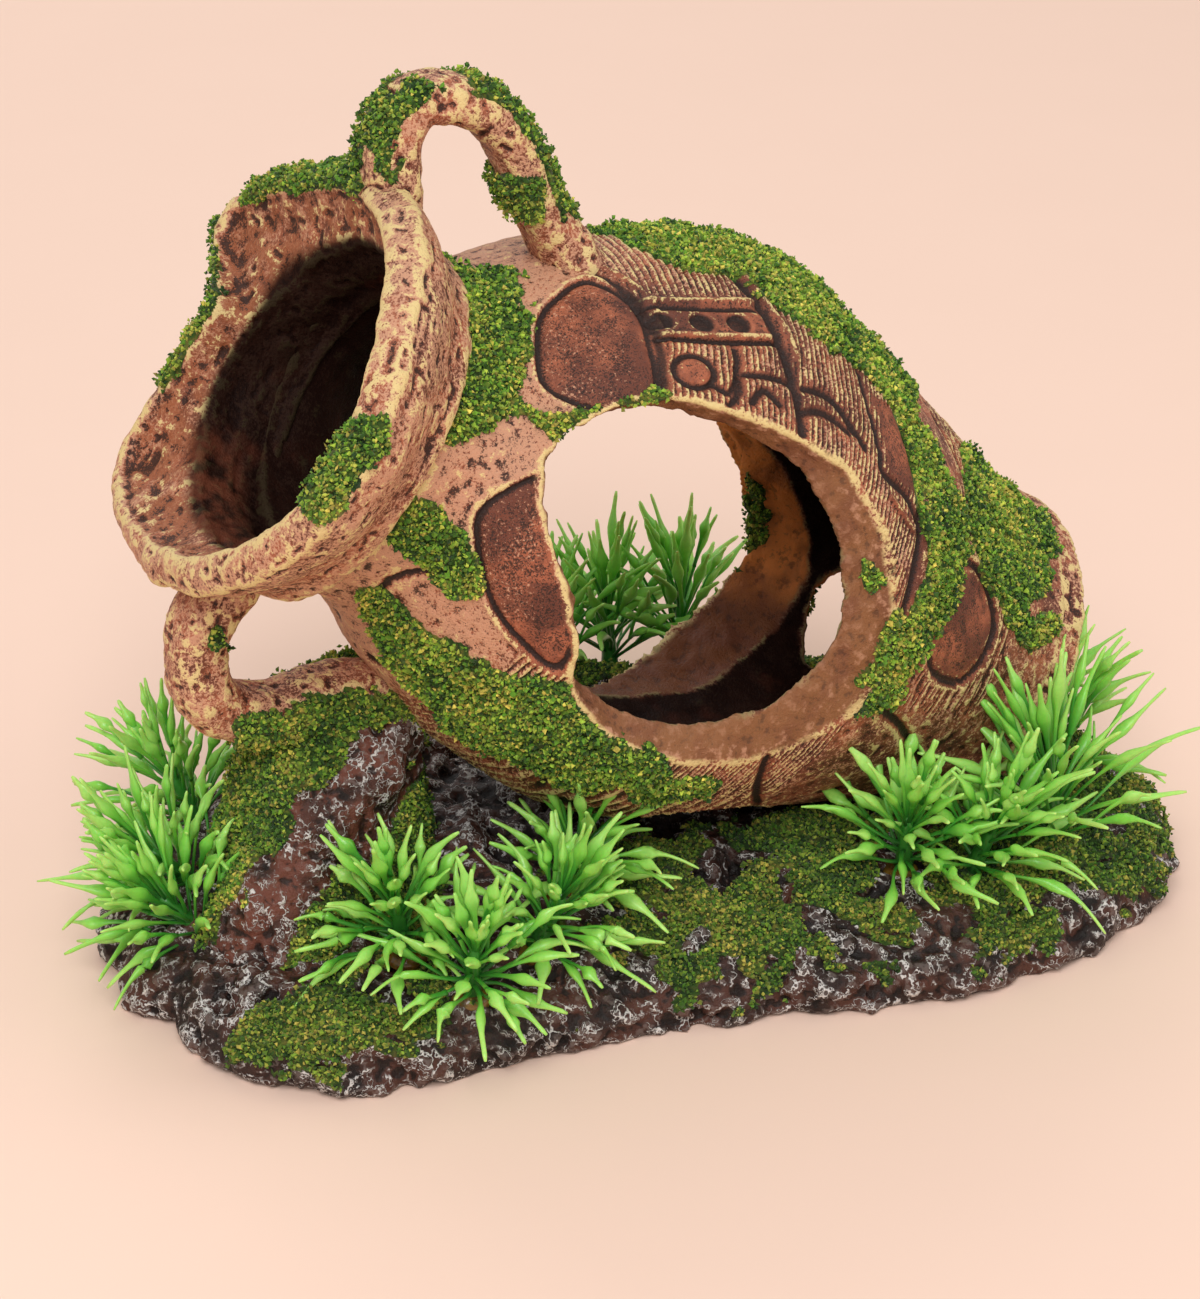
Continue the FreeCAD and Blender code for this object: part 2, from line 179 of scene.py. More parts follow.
def skinOf(field, low, step):
    # the surface where a field of distances passes zero
    field = np.pad(field.astype(np.float32), 1, constant_values=3 * step)
    grid = vdb.FloatGrid(3 * step)
    grid.copyFromArray(field)
    points, quads = grid.convertToQuads(0.0)
    return (points - 1) * step + np.array(low), quads.astype(np.int32)


def meshOf(name, points, faces):
    # faces is one array of corner numbers, or a list of such arrays
    faces = faces if isinstance(faces, list) else [faces]
    mesh = bpy.data.meshes.new(name)
    mesh.vertices.add(len(points))
    mesh.vertices.foreach_set("co", (points * mm).astype(np.float32).ravel())
    corners = np.concatenate([f.ravel() for f in faces]).astype(np.int32)
    counts = np.concatenate([np.full(len(f), f.shape[1]) for f in faces])
    starts = np.concatenate(([0], np.cumsum(counts)[:-1])).astype(np.int32)
    mesh.loops.add(len(corners))
    mesh.loops.foreach_set("vertex_index", corners)
    mesh.polygons.add(len(counts))
    mesh.polygons.foreach_set("loop_start", starts)
    mesh.update(calc_edges=True)
    return mesh


def faceOut(points, quads):
    a, b, c, d = (points[quads[:, k]] for k in range(4))
    volume = np.einsum("ij,ij->", a, np.cross(b, c)) + np.einsum("ij,ij->", a, np.cross(c, d))
    return quads if volume > 0 else quads[:, ::-1]


def pointsOf(mesh):
    co = np.empty(len(mesh.vertices) * 3, np.float32)
    mesh.vertices.foreach_get("co", co)
    return co.reshape(-1, 3).astype(float) / mm


def setPoints(mesh, points):
    mesh.vertices.foreach_set("co", (points * mm).astype(np.float32).ravel())
    mesh.update()


def normalsOf(mesh):
    out = np.empty(len(mesh.vertices) * 3, np.float32)
    mesh.vertex_normals.foreach_get("vector", out)
    return out.reshape(-1, 3).astype(float)


def edgesOf(mesh):
    out = np.empty(len(mesh.edges) * 2, np.int32)
    mesh.edges.foreach_get("vertices", out)
    return out.reshape(-1, 2)


def trianglesOf(mesh):
    mesh.calc_loop_triangles()
    out = np.empty(len(mesh.loop_triangles) * 3, np.int32)
    mesh.loop_triangles.foreach_get("vertices", out)
    return out.reshape(-1, 3)


def evenOut(values, edges, rounds):
    n = len(values)
    flat = values.reshape(n, -1).astype(float)
    a, b = edges[:, 0], edges[:, 1]
    count = np.bincount(a, minlength=n) + np.bincount(b, minlength=n) + 1.0
    for _ in range(rounds):
        flat = np.stack([(c + np.bincount(a, c[b], n) + np.bincount(b, c[a], n)) / count for c in flat.T], 1)
    return flat.reshape(values.shape)


def wearOf(mesh, rounds, reach):
    # how far each point stands proud of its surroundings (above 0) or lies below them (under 0)
    points = pointsOf(mesh)
    away = np.einsum("ij,ij->i", points - evenOut(points, edgesOf(mesh), rounds), normalsOf(mesh))
    return np.clip(away / reach, -1, 1)


def addLayer(mesh, name, values):
    layer = mesh.attributes.new(name, "FLOAT", "POINT")
    layer.data.foreach_set("value", np.asarray(values, np.float32))


def addTint(mesh, name, colours):
    layer = mesh.attributes.new(name, "FLOAT_COLOR", "POINT")
    full = np.ones((len(colours), 4), np.float32)
    full[:, :3] = colours
    layer.data.foreach_set("color", full.ravel())


def addPiece(name, mesh, material, nodes, smooth=True):
    mesh.polygons.foreach_set("use_smooth", np.full(len(mesh.polygons), smooth))
    mesh.materials.append(material)
    mesh.update()
    piece = bpy.data.objects.new(name, mesh)
    bpy.context.scene.collection.objects.link(piece)
    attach(piece, "root")
    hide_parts(*nodes)
    print("made", name, len(mesh.polygons), "faces")
    return piece


# Small tools for materials

def colour(r, g, b):
    # a colour as seen on a screen, 0 to 255
    shares = [c / 255 for c in (r, g, b)]
    return tuple(c / 12.92 if c < 11 / 255 else ((c + 0.055) / 1.055) ** 2.4 for c in shares) + (1.0,)


class Paint:
    # one material, with short ways to add nodes to it
    def __init__(self, name):
        self.material = bpy.data.materials.new(name)
        self.material.use_nodes = True
        self.tree = self.material.node_tree
        self.shader = self.tree.nodes["Principled BSDF"]
        self.place = self.tree.nodes.new("ShaderNodeTexCoord").outputs["Object"]

    def put(self, socket, value):
        if isinstance(value, bpy.types.NodeSocket):
            self.tree.links.new(value, socket)
        else:
            socket.default_value = value

    def grain(self, size, detail=2.0, roughness=0.5):
        # noise whose lumps are about size millimetres wide
        node = self.tree.nodes.new("ShaderNodeTexNoise")
        node.inputs["Scale"].default_value = 1 / (size * mm)
        node.inputs["Detail"].default_value = detail
        node.inputs["Roughness"].default_value = roughness
        self.tree.links.new(self.place, node.inputs["Vector"])
        return node.outputs["Fac"]

    def layer(self, name):
        node = self.tree.nodes.new("ShaderNodeAttribute")
        node.attribute_name = name
        return node.outputs["Fac"]

    def tint(self, name):
        node = self.tree.nodes.new("ShaderNodeAttribute")
        node.attribute_name = name
        return node.outputs["Color"]

    def sum(self, operation, a, b, keep=False):
        node = self.tree.nodes.new("ShaderNodeMath")
        node.operation = operation
        node.use_clamp = keep
        self.put(node.inputs[0], a)
        self.put(node.inputs[1], b)
        return node.outputs[0]

    def blend(self, *parts):
        # the sum of (value, weight, what is taken off first)
        total = None
        for value, weight, middle in parts:
            part = self.sum("MULTIPLY", self.sum("SUBTRACT", value, middle) if middle else value, weight)
            total = part if total is None else self.sum("ADD", total, part)
        return total

    def span(self, value, low, high, fromValue=0.0, toValue=1.0):
        node = self.tree.nodes.new("ShaderNodeMapRange")
        node.interpolation_type = "SMOOTHSTEP"
        self.put(node.inputs["Value"], value)
        node.inputs["From Min"].default_value = low
        node.inputs["From Max"].default_value = high
        node.inputs["To Min"].default_value = fromValue
        node.inputs["To Max"].default_value = toValue
        return node.outputs[0]

    def mix(self, share, a, b):
        node = self.tree.nodes.new("ShaderNodeMix")
        node.data_type = "RGBA"
        self.put(node.inputs["Factor"], share)
        self.put(node.inputs["A"], a)
        self.put(node.inputs["B"], b)
        return node.outputs["Result"]

    def ramp(self, value, stops):
        node = self.tree.nodes.new("ShaderNodeValToRGB")
        while len(node.color_ramp.elements) < len(stops):
            node.color_ramp.elements.new(0.5)
        for element, (at, shade) in zip(node.color_ramp.elements, stops):
            element.position = at
            element.color = shade
        self.put(node.inputs["Fac"], value)
        return node.outputs["Color"]

    def bump(self, height, deep, strength=1.0):
        node = self.tree.nodes.new("ShaderNodeBump")
        node.inputs["Distance"].default_value = deep * mm
        node.inputs["Strength"].default_value = strength
        self.put(node.inputs["Height"], height)
        self.tree.links.new(node.outputs["Normal"], self.shader.inputs["Normal"])

    def finish(self, baseColour, **values):
        self.put(self.shader.inputs["Base Color"], baseColour)
        for name, value in values.items():
            self.put(self.shader.inputs[name.replace("_", " ")], value)
        return self.material


# Camera, floor and light

viewSet = {"from": (-0.3293, -0.5481, 0.3697), "at": (-0.0106, -0.0105, 0.0526), "lens": 106.7}
lightSet = {
    "floor": (250, 218, 200), "room": 0.5,
    "lamps": {  # where each stands, its size and its power
        "mainLight": ((-0.55, -0.75, 1.05), 0.7, 11.2),
        "sideLight": ((0.95, -0.55, 0.75), 0.8, 2.4),
        "backLight": ((0.1, 1.0, 0.9), 0.9, 3.8),
    },
}


def setStage():
    scene = bpy.context.scene
    lens = bpy.data.cameras.new("camera")
    lens.lens = viewSet["lens"]
    lens.sensor_width = 36
    lens.clip_start = 0.01
    camera = bpy.data.objects.new("camera", lens)
    camera.location = viewSet["from"]
    aim = Vector(viewSet["at"]) - Vector(viewSet["from"])
    camera.rotation_euler = aim.to_track_quat("-Z", "Y").to_euler()
    scene.collection.objects.link(camera)
    scene.camera = camera
    scene.view_settings.view_transform = "Standard"

    paper = Paint("floorPaper")
    shade = paper.mix(paper.grain(40, 3), colour(*lightSet["floor"]),
                      colour(*(c - 2 for c in lightSet["floor"])))
    mesh = bpy.data.meshes.new("floor")
    mesh.from_pydata([(-6, -6, 0), (6, -6, 0), (6, 6, 0), (-6, 6, 0)], [], [(0, 1, 2, 3)])
    mesh.materials.append(paper.finish(shade, Roughness=0.9, Specular_IOR_Level=0.1))
    floor = bpy.data.objects.new("floor", mesh)
    scene.collection.objects.link(floor)

    room = bpy.data.worlds.new("room")
    room.use_nodes = True
    room.node_tree.nodes["Background"].inputs["Color"].default_value = (1.0, 0.97, 0.94, 1)
    room.node_tree.nodes["Background"].inputs["Strength"].default_value = lightSet["room"]
    scene.world = room
    for name, (place, size, power) in lightSet["lamps"].items():
        lamp = bpy.data.lights.new(name, "AREA")
        lamp.size = size
        lamp.energy = power
        lit = bpy.data.objects.new(name, lamp)
        lit.location = place
        lit.rotation_euler = (Vector((0, 0, 0.05)) - Vector(place)).to_track_quat("-Z", "Y").to_euler()
        scene.collection.objects.link(lit)
    print("stage set")


setStage()

# The jar, worked out in its own directions

jarSet = {
    "wall": 5.5,
    "step": 0.8,           # size of the mesh, halved where it is ribbed
    # along the jar from its mouth, and outer radius
    "radii": [(0, 31), (6, 31), (17, 30.6), (28, 32), (42, 41), (58, 48.5), (80, 53), (102, 48.5),
              (126, 40.5), (150, 33), (163, 31)],
    "cavityEnd": 154.5,
    "neckStart": 15.5,     # the collar covers what comes before
    "ribPitch": 1.1,
    "ribDepth": 0.36,
    "chip": 0.9,           # how ragged the broken edges are
}
profile = curveThrough(jarSet["radii"], 10)
squeeze = 0.94  # turns a difference of radii into a distance, as the jar's side slopes


def jarRadius(s):
    return np.interp(s, *profile.T)


def jarForm(points):
    # distance to the whole jar as if it were solid
    s, y, u = toJar(points)
    return np.maximum(squeeze * (np.hypot(y, u) - jarRadius(s)), np.maximum(2 - s, s - 163))


# Broken windows: each has its loop on the outer face and its loop on the inner face, as (along, turn) pairs.
windows = {
    "front": (
        [(34.5, 78), (34.5, 70), (38.5, 59), (45, 53.5), (55, 50.5), (66, 52), (76, 54), (87, 56.5),
         (101, 69), (108.5, 85), (108.5, 101), (99, 116), (82, 122), (66, 124), (55, 119), (50, 108),
         (39.5, 91)],
        [(35.5, 80), (35.5, 70), (39.5, 58.5), (46, 53), (56, 50.5), (68, 52.5), (80, 58), (91, 70),
         (97.5, 87), (94, 102), (83, 115), (68, 121), (57, 120), (52, 109), (41, 92)],
    ),
    "rear": (
        [(68, -90), (70, -70), (82, -57), (96, -57), (110, -67), (121, -76), (130, -92), (131, -105),
         (126, -119), (114, -138), (98, -146), (84, -134), (74, -113)],
        [(69, -90), (71, -70), (83, -57), (100, -56), (120, -62), (134, -75), (141, -92), (141, -112),
         (134, -131), (122, -148), (100, -151), (84, -136), (74, -113)],
    ),
    "heel": (
        [(147, -116), (148, -104), (149.5, -94), (152, -89), (155, -93), (156.5, -106), (156.5, -118),
         (155, -128), (151, -131), (148, -126)],
        [(146, -116), (147, -104), (149, -92), (152, -87), (155, -92), (157, -106), (157, -118),
         (156, -130), (151, -133), (147, -128)],
    ),
}
unrolled = 50.0  # radius used to lay the jar's turn out flat


def laidFlat(line):
    return [(s, math.radians(turn) * unrolled) for s, turn in line]


mapFrom, mapTo, mapStep = 20, 170, 0.7  # along the jar, for the maps of distances to each window's loops


def flatMap(loop):
    # signed distances to a loop, over along and turn
    loop = curveThrough(loop, 6, True)
    s, turn = np.meshgrid(np.arange(mapFrom, mapTo, mapStep), np.arange(-180, 181, 1.0), indexing="ij")
    return toShape(s, np.radians(turn) * unrolled,
                   np.stack((loop[:, 0], np.radians(loop[:, 1]) * unrolled), 1))


def readMap(table, s, turn):
    i = np.clip((s - mapFrom) / mapStep, 0, table.shape[0] - 1.001)
    j = np.clip(turn + 180, 0, table.shape[1] - 1.001)
    a, b = i.astype(int), j.astype(int)
    i, j = i - a, j - b
    low = table[a, b] * (1 - j) + table[a, b + 1] * j
    return low * (1 - i) + (table[a + 1, b] * (1 - j) + table[a + 1, b + 1] * j) * i


windowMaps = {name: (flatMap(outer), flatMap(inner)) for name, (outer, inner) in windows.items()}


def toWindow(s, y, u):
    # distance to the nearest break in the wall, below 0 inside it
    depth = np.clip((jarRadius(s) - np.hypot(y, u)) / jarSet["wall"], 0, 1)
    turn = turnAround(y, u)
    scale = jarRadius(s) / unrolled
    nearest = np.full(len(s), 50.0)
    for outer, inner in windowMaps.values():
        here = readMap(outer, s, turn) * (1 - depth) + readMap(inner, s, turn) * depth
        nearest = np.minimum(nearest, here * np.minimum(scale, 1))
    return nearest


def toBreak(place):
    # the same with the ragged edge that the break really has
    chips = 0.7 * rough(place, 7, 2, 11) + 0.35 * lumps(place, 1.9, 15)
    return toWindow(*place.T) + jarSet["chip"] * chips


def jarField(step):
    low = np.array((3.0, -57.0, -57.0))
    s, y, u = gridOf(low, (160, 57, 57), step)
    radius = np.hypot(y, u)
    outer = squeeze * (radius - jarRadius(s))
    cavity = np.maximum(outer + jarSet["wall"], s - jarSet["cavityEnd"])
    shell = np.maximum(blendMax(outer, -cavity, 1.0), np.maximum(jarSet["neckStart"] - s, s - 158))
    near = np.abs(shell) < 3.4
    sN, yN, uN = s[near], y[near], u[near]
    place = np.stack((sN, yN, uN), 1)
    gap = toBreak(place)
    body = shell[near] + 0.55 * lumps(place, 26, 3) + 0.3 * lumps(place, 9, 4)
    shell[near] = blendMax(body, -gap, 0.9)
    return shell, low


# Relief on the outer face, as (along, turn): smooth shards, grooves, round dents and ribbed ground.
shards = [
    [(32, 50), (32, 30), (36, 20), (41, 16), (46, 25), (47.5, 38), (47.5, 53), (39, 56)],
    [(29, 96), (31, 84), (36, 76), (42, 88), (48, 101), (51, 116), (44, 117), (36, 112)],
    [(30, -60), (38, -48), (50, -58), (52, -74), (42, -84), (32, -74)],
    [(36, -128), (52, -118), (62, -134), (58, -152), (44, -158)],
    [(118, 66), (127, 58), (137, 70), (134, 88), (122, 86)],
    [(112, -20), (128, -16), (136, -32), (124, -44), (112, -38)],
    [(92, 150), (108, 140), (120, 152), (110, 172), (94, 168)],
]
grooves = [  # points, width, depth (below 0 is a raised line)
    ([(42, 11), (46, 22), (48.6, 36), (49, 48), (48, 57)], 0.8, 1.0),
    ([(44, 10), (48, 22), (50.4, 36)], 0.5, -0.5),
    ([(66, 14), (69, 26), (71, 37), (73, 47), (74, 57)], 1.2, 1.1),
    ([(68, 14), (71, 26), (73, 36)], 0.5, -0.5),
    ([(46.5, 25), (56, 24.4), (67, 22.6)], 0.7, -0.8),
    ([(47.5, 27), (57, 26.6), (67, 25)], 0.6, 0.7),
    ([(49, 36), (58, 35.4), (70, 33)], 0.6, 0.9),
    ([(48, 35), (57, 34), (68, 32)], 0.6, -0.6),
    ([(57.4, 46), (60, 47), (61.8, 41), (61.5, 36.5)], 0.8, 0.9),
    ([(60, 50), (61.8, 46), (61.5, 41)], 0.8, 0.9),
    ([(63, 42), (68, 41.5), (71, 42)], 0.8, 0.9),
    ([(64, 48), (66, 45), (69, 47)], 0.9, 0.8),
    ([(74, 42), (80, 42.5), (88, 49)], 0.9, 0.9),
    ([(74, 47), (78, 46), (84, 47.5)], 1.0, 0.9),
    ([(88, 33), (90, 41), (92.5, 48), (94, 52), (101, 53.5), (106, 58)], 0.9, 1.0),
    ([(97, 30), (101, 40), (106, 55), (108, 75), (108.5, 92)], 1.2, 1.1),
    ([(96, 56), (104, 60)], 0.5, -0.7),
    ([(54, 119), (49, 130), (41, 150), (38, 170)], 1.0, 0.9),
    ([(68, 122), (66, 136), (70, 152)], 0.9, 0.9),
    ([(96, 115), (103, 128), (112, 140)], 0.9, 0.9),
    ([(60, -50), (74, -34), (92, -30), (118, -46)], 1.1, 1.0),
    ([(92, -30), (98, -8), (92, 12)], 1.0, 0.9),
    ([(60, -98), (50, -110), (38, -112)], 1.0, 1.0),
    ([(56, 178), (74, 168), (92, 172), (118, 160)], 1.1, 0.9),
    ([(118, 20), (124, 34), (136, 44), (152, 40)], 0.9, 0.8),
    ([(110, 98), (124, 104), (140, 118)], 1.0, 0.9),
    ([(30, 112), (24, 130), (28, 150)], 0.8, 0.7),
]
dents = [(49.6, 31, 2.1, 1.0), (56.4, 30.6, 2.2, 1.0), (63, 29.6, 2.2, 1.0), (116, 59, 3.0, 1.0),
         (76, 152, 3.0, 0.9), (128, -60, 3.0, 0.9), (84, -14, 2.6, 0.9)]  # along, turn, radius, depth
ring = (54, 43.5, 3.3, 0.75, 0.9)  # along, turn, radius, width, depth
smoothPanels = [
    [(47, 26), (67, 24), (69, 33.5), (48, 36)],
    [(91, 36), (99, 36), (105, 52), (95, 51)],
]


def jarRelief(s, turn):
    # height of the relief, how ribbed, how smooth and how inked the ground is, all for the outer face
    arc = np.radians(turn) * unrolled
    shard = np.full(len(s), 9.0)
    for loop in shards:
        shard = np.minimum(shard, toShape(s, arc, curveThrough(laidFlat(loop), 5, True)))
    height = -0.45 * smooth01(-shard, -0.2, 1.0) - 0.95 * np.exp(-((shard / 0.7) ** 2))
    height += 0.35 * np.exp(-(((shard - 1.4) / 0.7) ** 2))
    ink = np.exp(-((shard / 0.6) ** 2))
    plain = smooth01(-shard, -2.2, -0.4)
    for loop in smoothPanels:
        plain = np.maximum(plain, smooth01(-toShape(s, arc, laidFlat(loop)), -0.6, 0.3))
    for line, width, depth in grooves:
        gap = toLine(s, arc, curveThrough(laidFlat(line), 4))
        height -= depth * np.exp(-((gap / width) ** 2))
        ink = np.maximum(ink, (depth > 0) * np.exp(-((gap / width) ** 2)))
        plain = np.maximum(plain, np.exp(-((gap / (1.5 * width)) ** 2)))
    for at, turned, radius, depth in dents:
        gap = np.hypot(s - at, arc - math.radians(turned) * unrolled)
        height -= depth * smooth01(radius - gap, -0.3, 0.7)
        ink = np.maximum(ink, 0.85 * smooth01(radius - gap, -0.4, 0.3))
        plain = np.maximum(plain, smooth01(radius - gap, -1.0, 0.2))
    gap = np.hypot(s - ring[0], arc - math.radians(ring[1]) * unrolled)
    height -= ring[4] * np.exp(-(((gap - ring[2]) / ring[3]) ** 2))
    ink = np.maximum(ink, np.exp(-(((gap - ring[2]) / ring[3]) ** 2)))
    plain = np.maximum(plain, smooth01(ring[2] + 0.8 - gap, -0.2, 0.4))
    belly = smooth01(s, 44, 47) * (1 - smooth01(s, 107, 109))
    upperSide = smooth01(np.cos(np.radians(turn - 20)), 0.1, 0.3)
    ankle = smooth01(s, 119, 121) * (1 - smooth01(s, 141, 144)) * upperSide
    ribbed = np.maximum(belly, 0.8 * ankle) * (1 - plain)
    return height, ribbed, plain, ink


def makeJarMesh():
    field, low = jarField(jarSet["step"])
    local, quads = skinOf(field, low, jarSet["step"])
    quads = faceOut(local, quads)
    mesh = meshOf("jarBody", local, quads)
    middle = local[quads].mean(1)
    s, y, u = middle.T
    turn = turnAround(y, u)
    outside = np.hypot(y, u) > jarRadius(s) - 1.6
    clear = toWindow(s, y, u) > 0.8
    fine = outside & clear & (s > 30) & (s < 110) & (turn > -2) & (turn < 128)
    work = bmesh.new()
    work.from_mesh(mesh)
    work.faces.ensure_lookup_table()
    chosen = set()
    for k in np.nonzero(fine)[0]:
        chosen.update(work.faces[k].edges)
    bmesh.ops.subdivide_edges(work, edges=list(chosen), cuts=1, use_grid_fill=True)
    bmesh.ops.triangulate(work, faces=[f for f in work.faces if len(f.verts) > 4])
    work.to_mesh(mesh)
    work.free()
    return mesh


def shapeJar():
    mesh = makeJarMesh()
    local = pointsOf(mesh)
    s, y, u = local.T
    turn = turnAround(y, u)
    radius = np.hypot(y, u)
    skin = smooth01(radius, jarRadius(s) - 2.6, jarRadius(s) - 1.2)
    gap = toBreak(local)
    clear = smooth01(gap, 0.0, 1.6)
    height, ribbed, plain, ink = jarRelief(s, turn)
    grain = 0.20 * rough(local, 3.2, 2, 21) + 0.14 * lumps(local, 1.4, 25)
    pitted = np.clip(lumps(local, 1.9, 31) - 0.35, 0, 1) * 1.1
    wavy = s + 0.5 * lumps(local, 8, 33)
    height = height * clear - 0.5 * pitted * (1 - plain) * (1 - ribbed)
    height += grain * (0.35 + 0.65 * (1 - plain)) * (1 - 0.5 * ribbed)
    height += ribbed * clear * jarSet["ribDepth"] * (np.cos(2 * math.pi * wavy / jarSet["ribPitch"]) - 0.3)
    out = np.stack((0 * s, y / radius, u / radius), 1)
    normals = normalsOf(mesh)
    shift = out * (height * skin)[:, None]
    inner = (1 - skin) * (0.5 * rough(local, 11, 3, 41) + 0.2 * lumps(local, 2.2, 43))
    inner += (1 - smooth01(gap, 0.3, 1.2)) * (0.26 * rough(local, 4.5, 3, 45, True) - 0.15)
    shift += normals * inner[:, None]
    setPoints(mesh, local + shift)
    worn = wearOf(mesh, 3, 0.10)
    broad = wearOf(mesh, 14, 0.45)
    addLayer(mesh, "worn", worn)
    addLayer(mesh, "broad", broad)
    # inner faces, which take the near-black painted shade
    addLayer(mesh, "inside", (1 - skin) * smooth01(gap, 0.2, 1.2))
    addLayer(mesh, "broken", 1 - smooth01(gap, 0.3, 1.0))
    addLayer(mesh, "depth", (jarRadius(s) - radius) / jarSet["wall"])
    # the far side, where the broken faces get a bright orange as painted light
    addLayer(mesh, "farSide", smooth01(y, -6, 8))
    # the lower part of those far broken faces, which gets painted shade
    addLayer(mesh, "shadedLowDown", smooth01(-turn, 96, 118))
    addLayer(mesh, "plain", plain * clear * skin)
    addLayer(mesh, "ink", ink * clear * skin)
    addLayer(mesh, "pale", skin * smooth01(-s, -50, -38))
    points = pointsOf(mesh)
    setPoints(mesh, fromJar(*points.T))
    return mesh


clay = {  # the jar's paint, as seen on a screen
    "red": (172, 98, 68), "brown": (108, 58, 42), "wash": (36, 20, 15), "pink": (214, 160, 128),
    # the near-black on this line is painted shade inside the jar and its throat
    "edge": (230, 206, 142), "inside": (24, 10, 7), "insideRed": (64, 30, 20), "cut": (140, 92, 56),
    # the bright orange on this line is painted light on the far window's broken faces
    "litFarCut": (255, 150, 72), "throatBrown": (96, 50, 34), "face": (158, 90, 54),
}


def clayPaint():
    p = Paint("jarClay")
    worn, broad, plain, pale = (p.layer(name) for name in ("worn", "broad", "plain", "pale"))
    broken, depth, ink = p.layer("broken"), p.layer("depth"), p.layer("ink")
    base = p.mix(p.span(p.grain(11, 3), 0.4, 0.62), colour(*clay["red"]), colour(*clay["brown"]))
    base = p.mix(p.span(p.grain(1.8, 4), 0.42, 0.66, 0, 0.65), base, colour(*clay["brown"]))
    # pinkish dry brush, strongest at the neck, broken up into fine specks
    speck, dust = p.grain(0.55, 2.5, 0.6), p.grain(0.3, 2, 0.6)
    proud = p.blend((worn, 0.4, 0), (broad, 0.15, 0), (pale, 0.7, 0), (speck, 3.6, 0.5), (dust, 1.6, 0.5),
                    (p.grain(6, 3), 1.1, 0.5), (plain, -0.95, 0))
    out = p.mix(p.span(proud, 0.0, 0.55, 0, 0.85), base, colour(*clay["pink"]))
    # the hollow face of the rim is more orange
    hollow = p.sum("MULTIPLY", p.layer("face"), p.span(p.grain(4, 4), 0.34, 0.6, 0.2, 0.8))
    out = p.mix(hollow, out, colour(*clay["face"]))
    # cream along sharp ridges, never unbroken
    ridge = p.blend((worn, 0.86, 0), (broad, 0.3, 0), (p.grain(2.4, 4), 2.2, 0.5),
                    (speck, 2.2, 0.5), (dust, 1.0, 0.5), (plain, -0.3, 0))
    out = p.mix(p.span(ridge, 0.55, 1.05, 0, 0.9), out, colour(*clay["edge"]))
    # dark wash: in the hollows, and in small specks
    low = p.blend((worn, -0.8, 0), (broad, -0.3, 0), (dust, 3.0, 0.5), (speck, -1.4, 0.5),
                  (p.grain(3, 3), 1.2, 0.5), (plain, 0.42, 0))
    out = p.mix(p.span(low, 0.3, 0.8, 0, 0.88), out, colour(*clay["wash"]))
    inked = p.sum("MULTIPLY", ink, p.span(speck, 0.3, 0.5, 0.75, 1.0))
    out = p.mix(p.span(inked, 0.25, 0.85, 0, 0.85), out, colour(*clay["wash"]))
    # the broken faces of the wall, with a pale outer edge
    # painted light: on the far side the broken faces turn bright orange
    cutColour = p.mix(p.layer("farSide"), colour(*clay["cut"]), colour(*clay["litFarCut"]))
    # painted shade: the lower part of the far broken faces turns dark red
    cutColour = p.mix(p.sum("MULTIPLY", p.sum("MULTIPLY", p.layer("farSide"), p.layer("shadedLowDown")), 0.85),
                      cutColour, colour(*clay["insideRed"]))
    near = p.sum("SUBTRACT", 1.0, p.layer("farSide"))
    crumbled = p.blend((worn, 0.4, 0), (p.grain(1.4, 4), 2.2, 0.5), (speck, 1.0, 0.5))
    cutColour = p.mix(p.span(p.grain(7, 4), 0.42, 0.66, 0, 0.5), cutColour, colour(*clay["brown"]))
    outerHalf = p.sum("MULTIPLY", near, p.span(depth, 0.75, 0.2, 0.35, 1.0))
    pinkBits = p.sum("MULTIPLY", p.span(crumbled, 0.12, 0.7, 0, 0.6), outerHalf)
    cutColour = p.mix(pinkBits, cutColour, colour(*clay["pink"]))
    cutColour = p.mix(p.span(crumbled, -0.15, -0.6, 0, 0.45), cutColour, colour(*clay["wash"]))
    out = p.mix(p.sum("MULTIPLY", broken, p.span(depth, 0.06, 0.2), True), out, cutColour)
    lip = p.sum("MULTIPLY", broken, p.span(depth, 0.2, 0.05))
    lip = p.sum("MULTIPLY", lip, p.span(p.blend((p.grain(3, 3), 1.0, 0), (speck, 0.5, 0.5)), 0.42, 0.56))
    out = p.mix(p.sum("MULTIPLY", lip, 0.8, True), out, colour(*clay["edge"]))
    # inside the jar and its throat the dark red-brown paint is deepened to near-black as painted shade, with
    # a low specular; low in the throat near the lip a red-brown patch stays lighter
    inside = p.layer("inside")
    deep = p.mix(p.span(p.grain(10, 3), 0.56, 0.8), colour(*clay["inside"]), colour(*clay["insideRed"]))
    throatBrownShare = p.sum("MULTIPLY", p.layer("throatBrown"), p.span(p.grain(5, 4), 0.38, 0.6), True)
    deep = p.mix(throatBrownShare, deep, colour(*clay["throatBrown"]))
    out = p.mix(p.sum("MULTIPLY", inside, 0.97), out, deep)
    p.bump(p.sum("ADD", speck, p.sum("MULTIPLY", dust, 0.5)), 0.4, 0.8)
    return p.finish(out, Roughness=p.span(speck, 0.3, 0.7, 0.5, 0.72),
                    Specular_IOR_Level=p.span(inside, 0.0, 1.0, 0.38, 0.08))


jarClay = clayPaint()
jarMesh = shapeJar()
addPiece("jarBody", jarMesh, jarClay, ["jar_shell"])

# The collar round the mouth

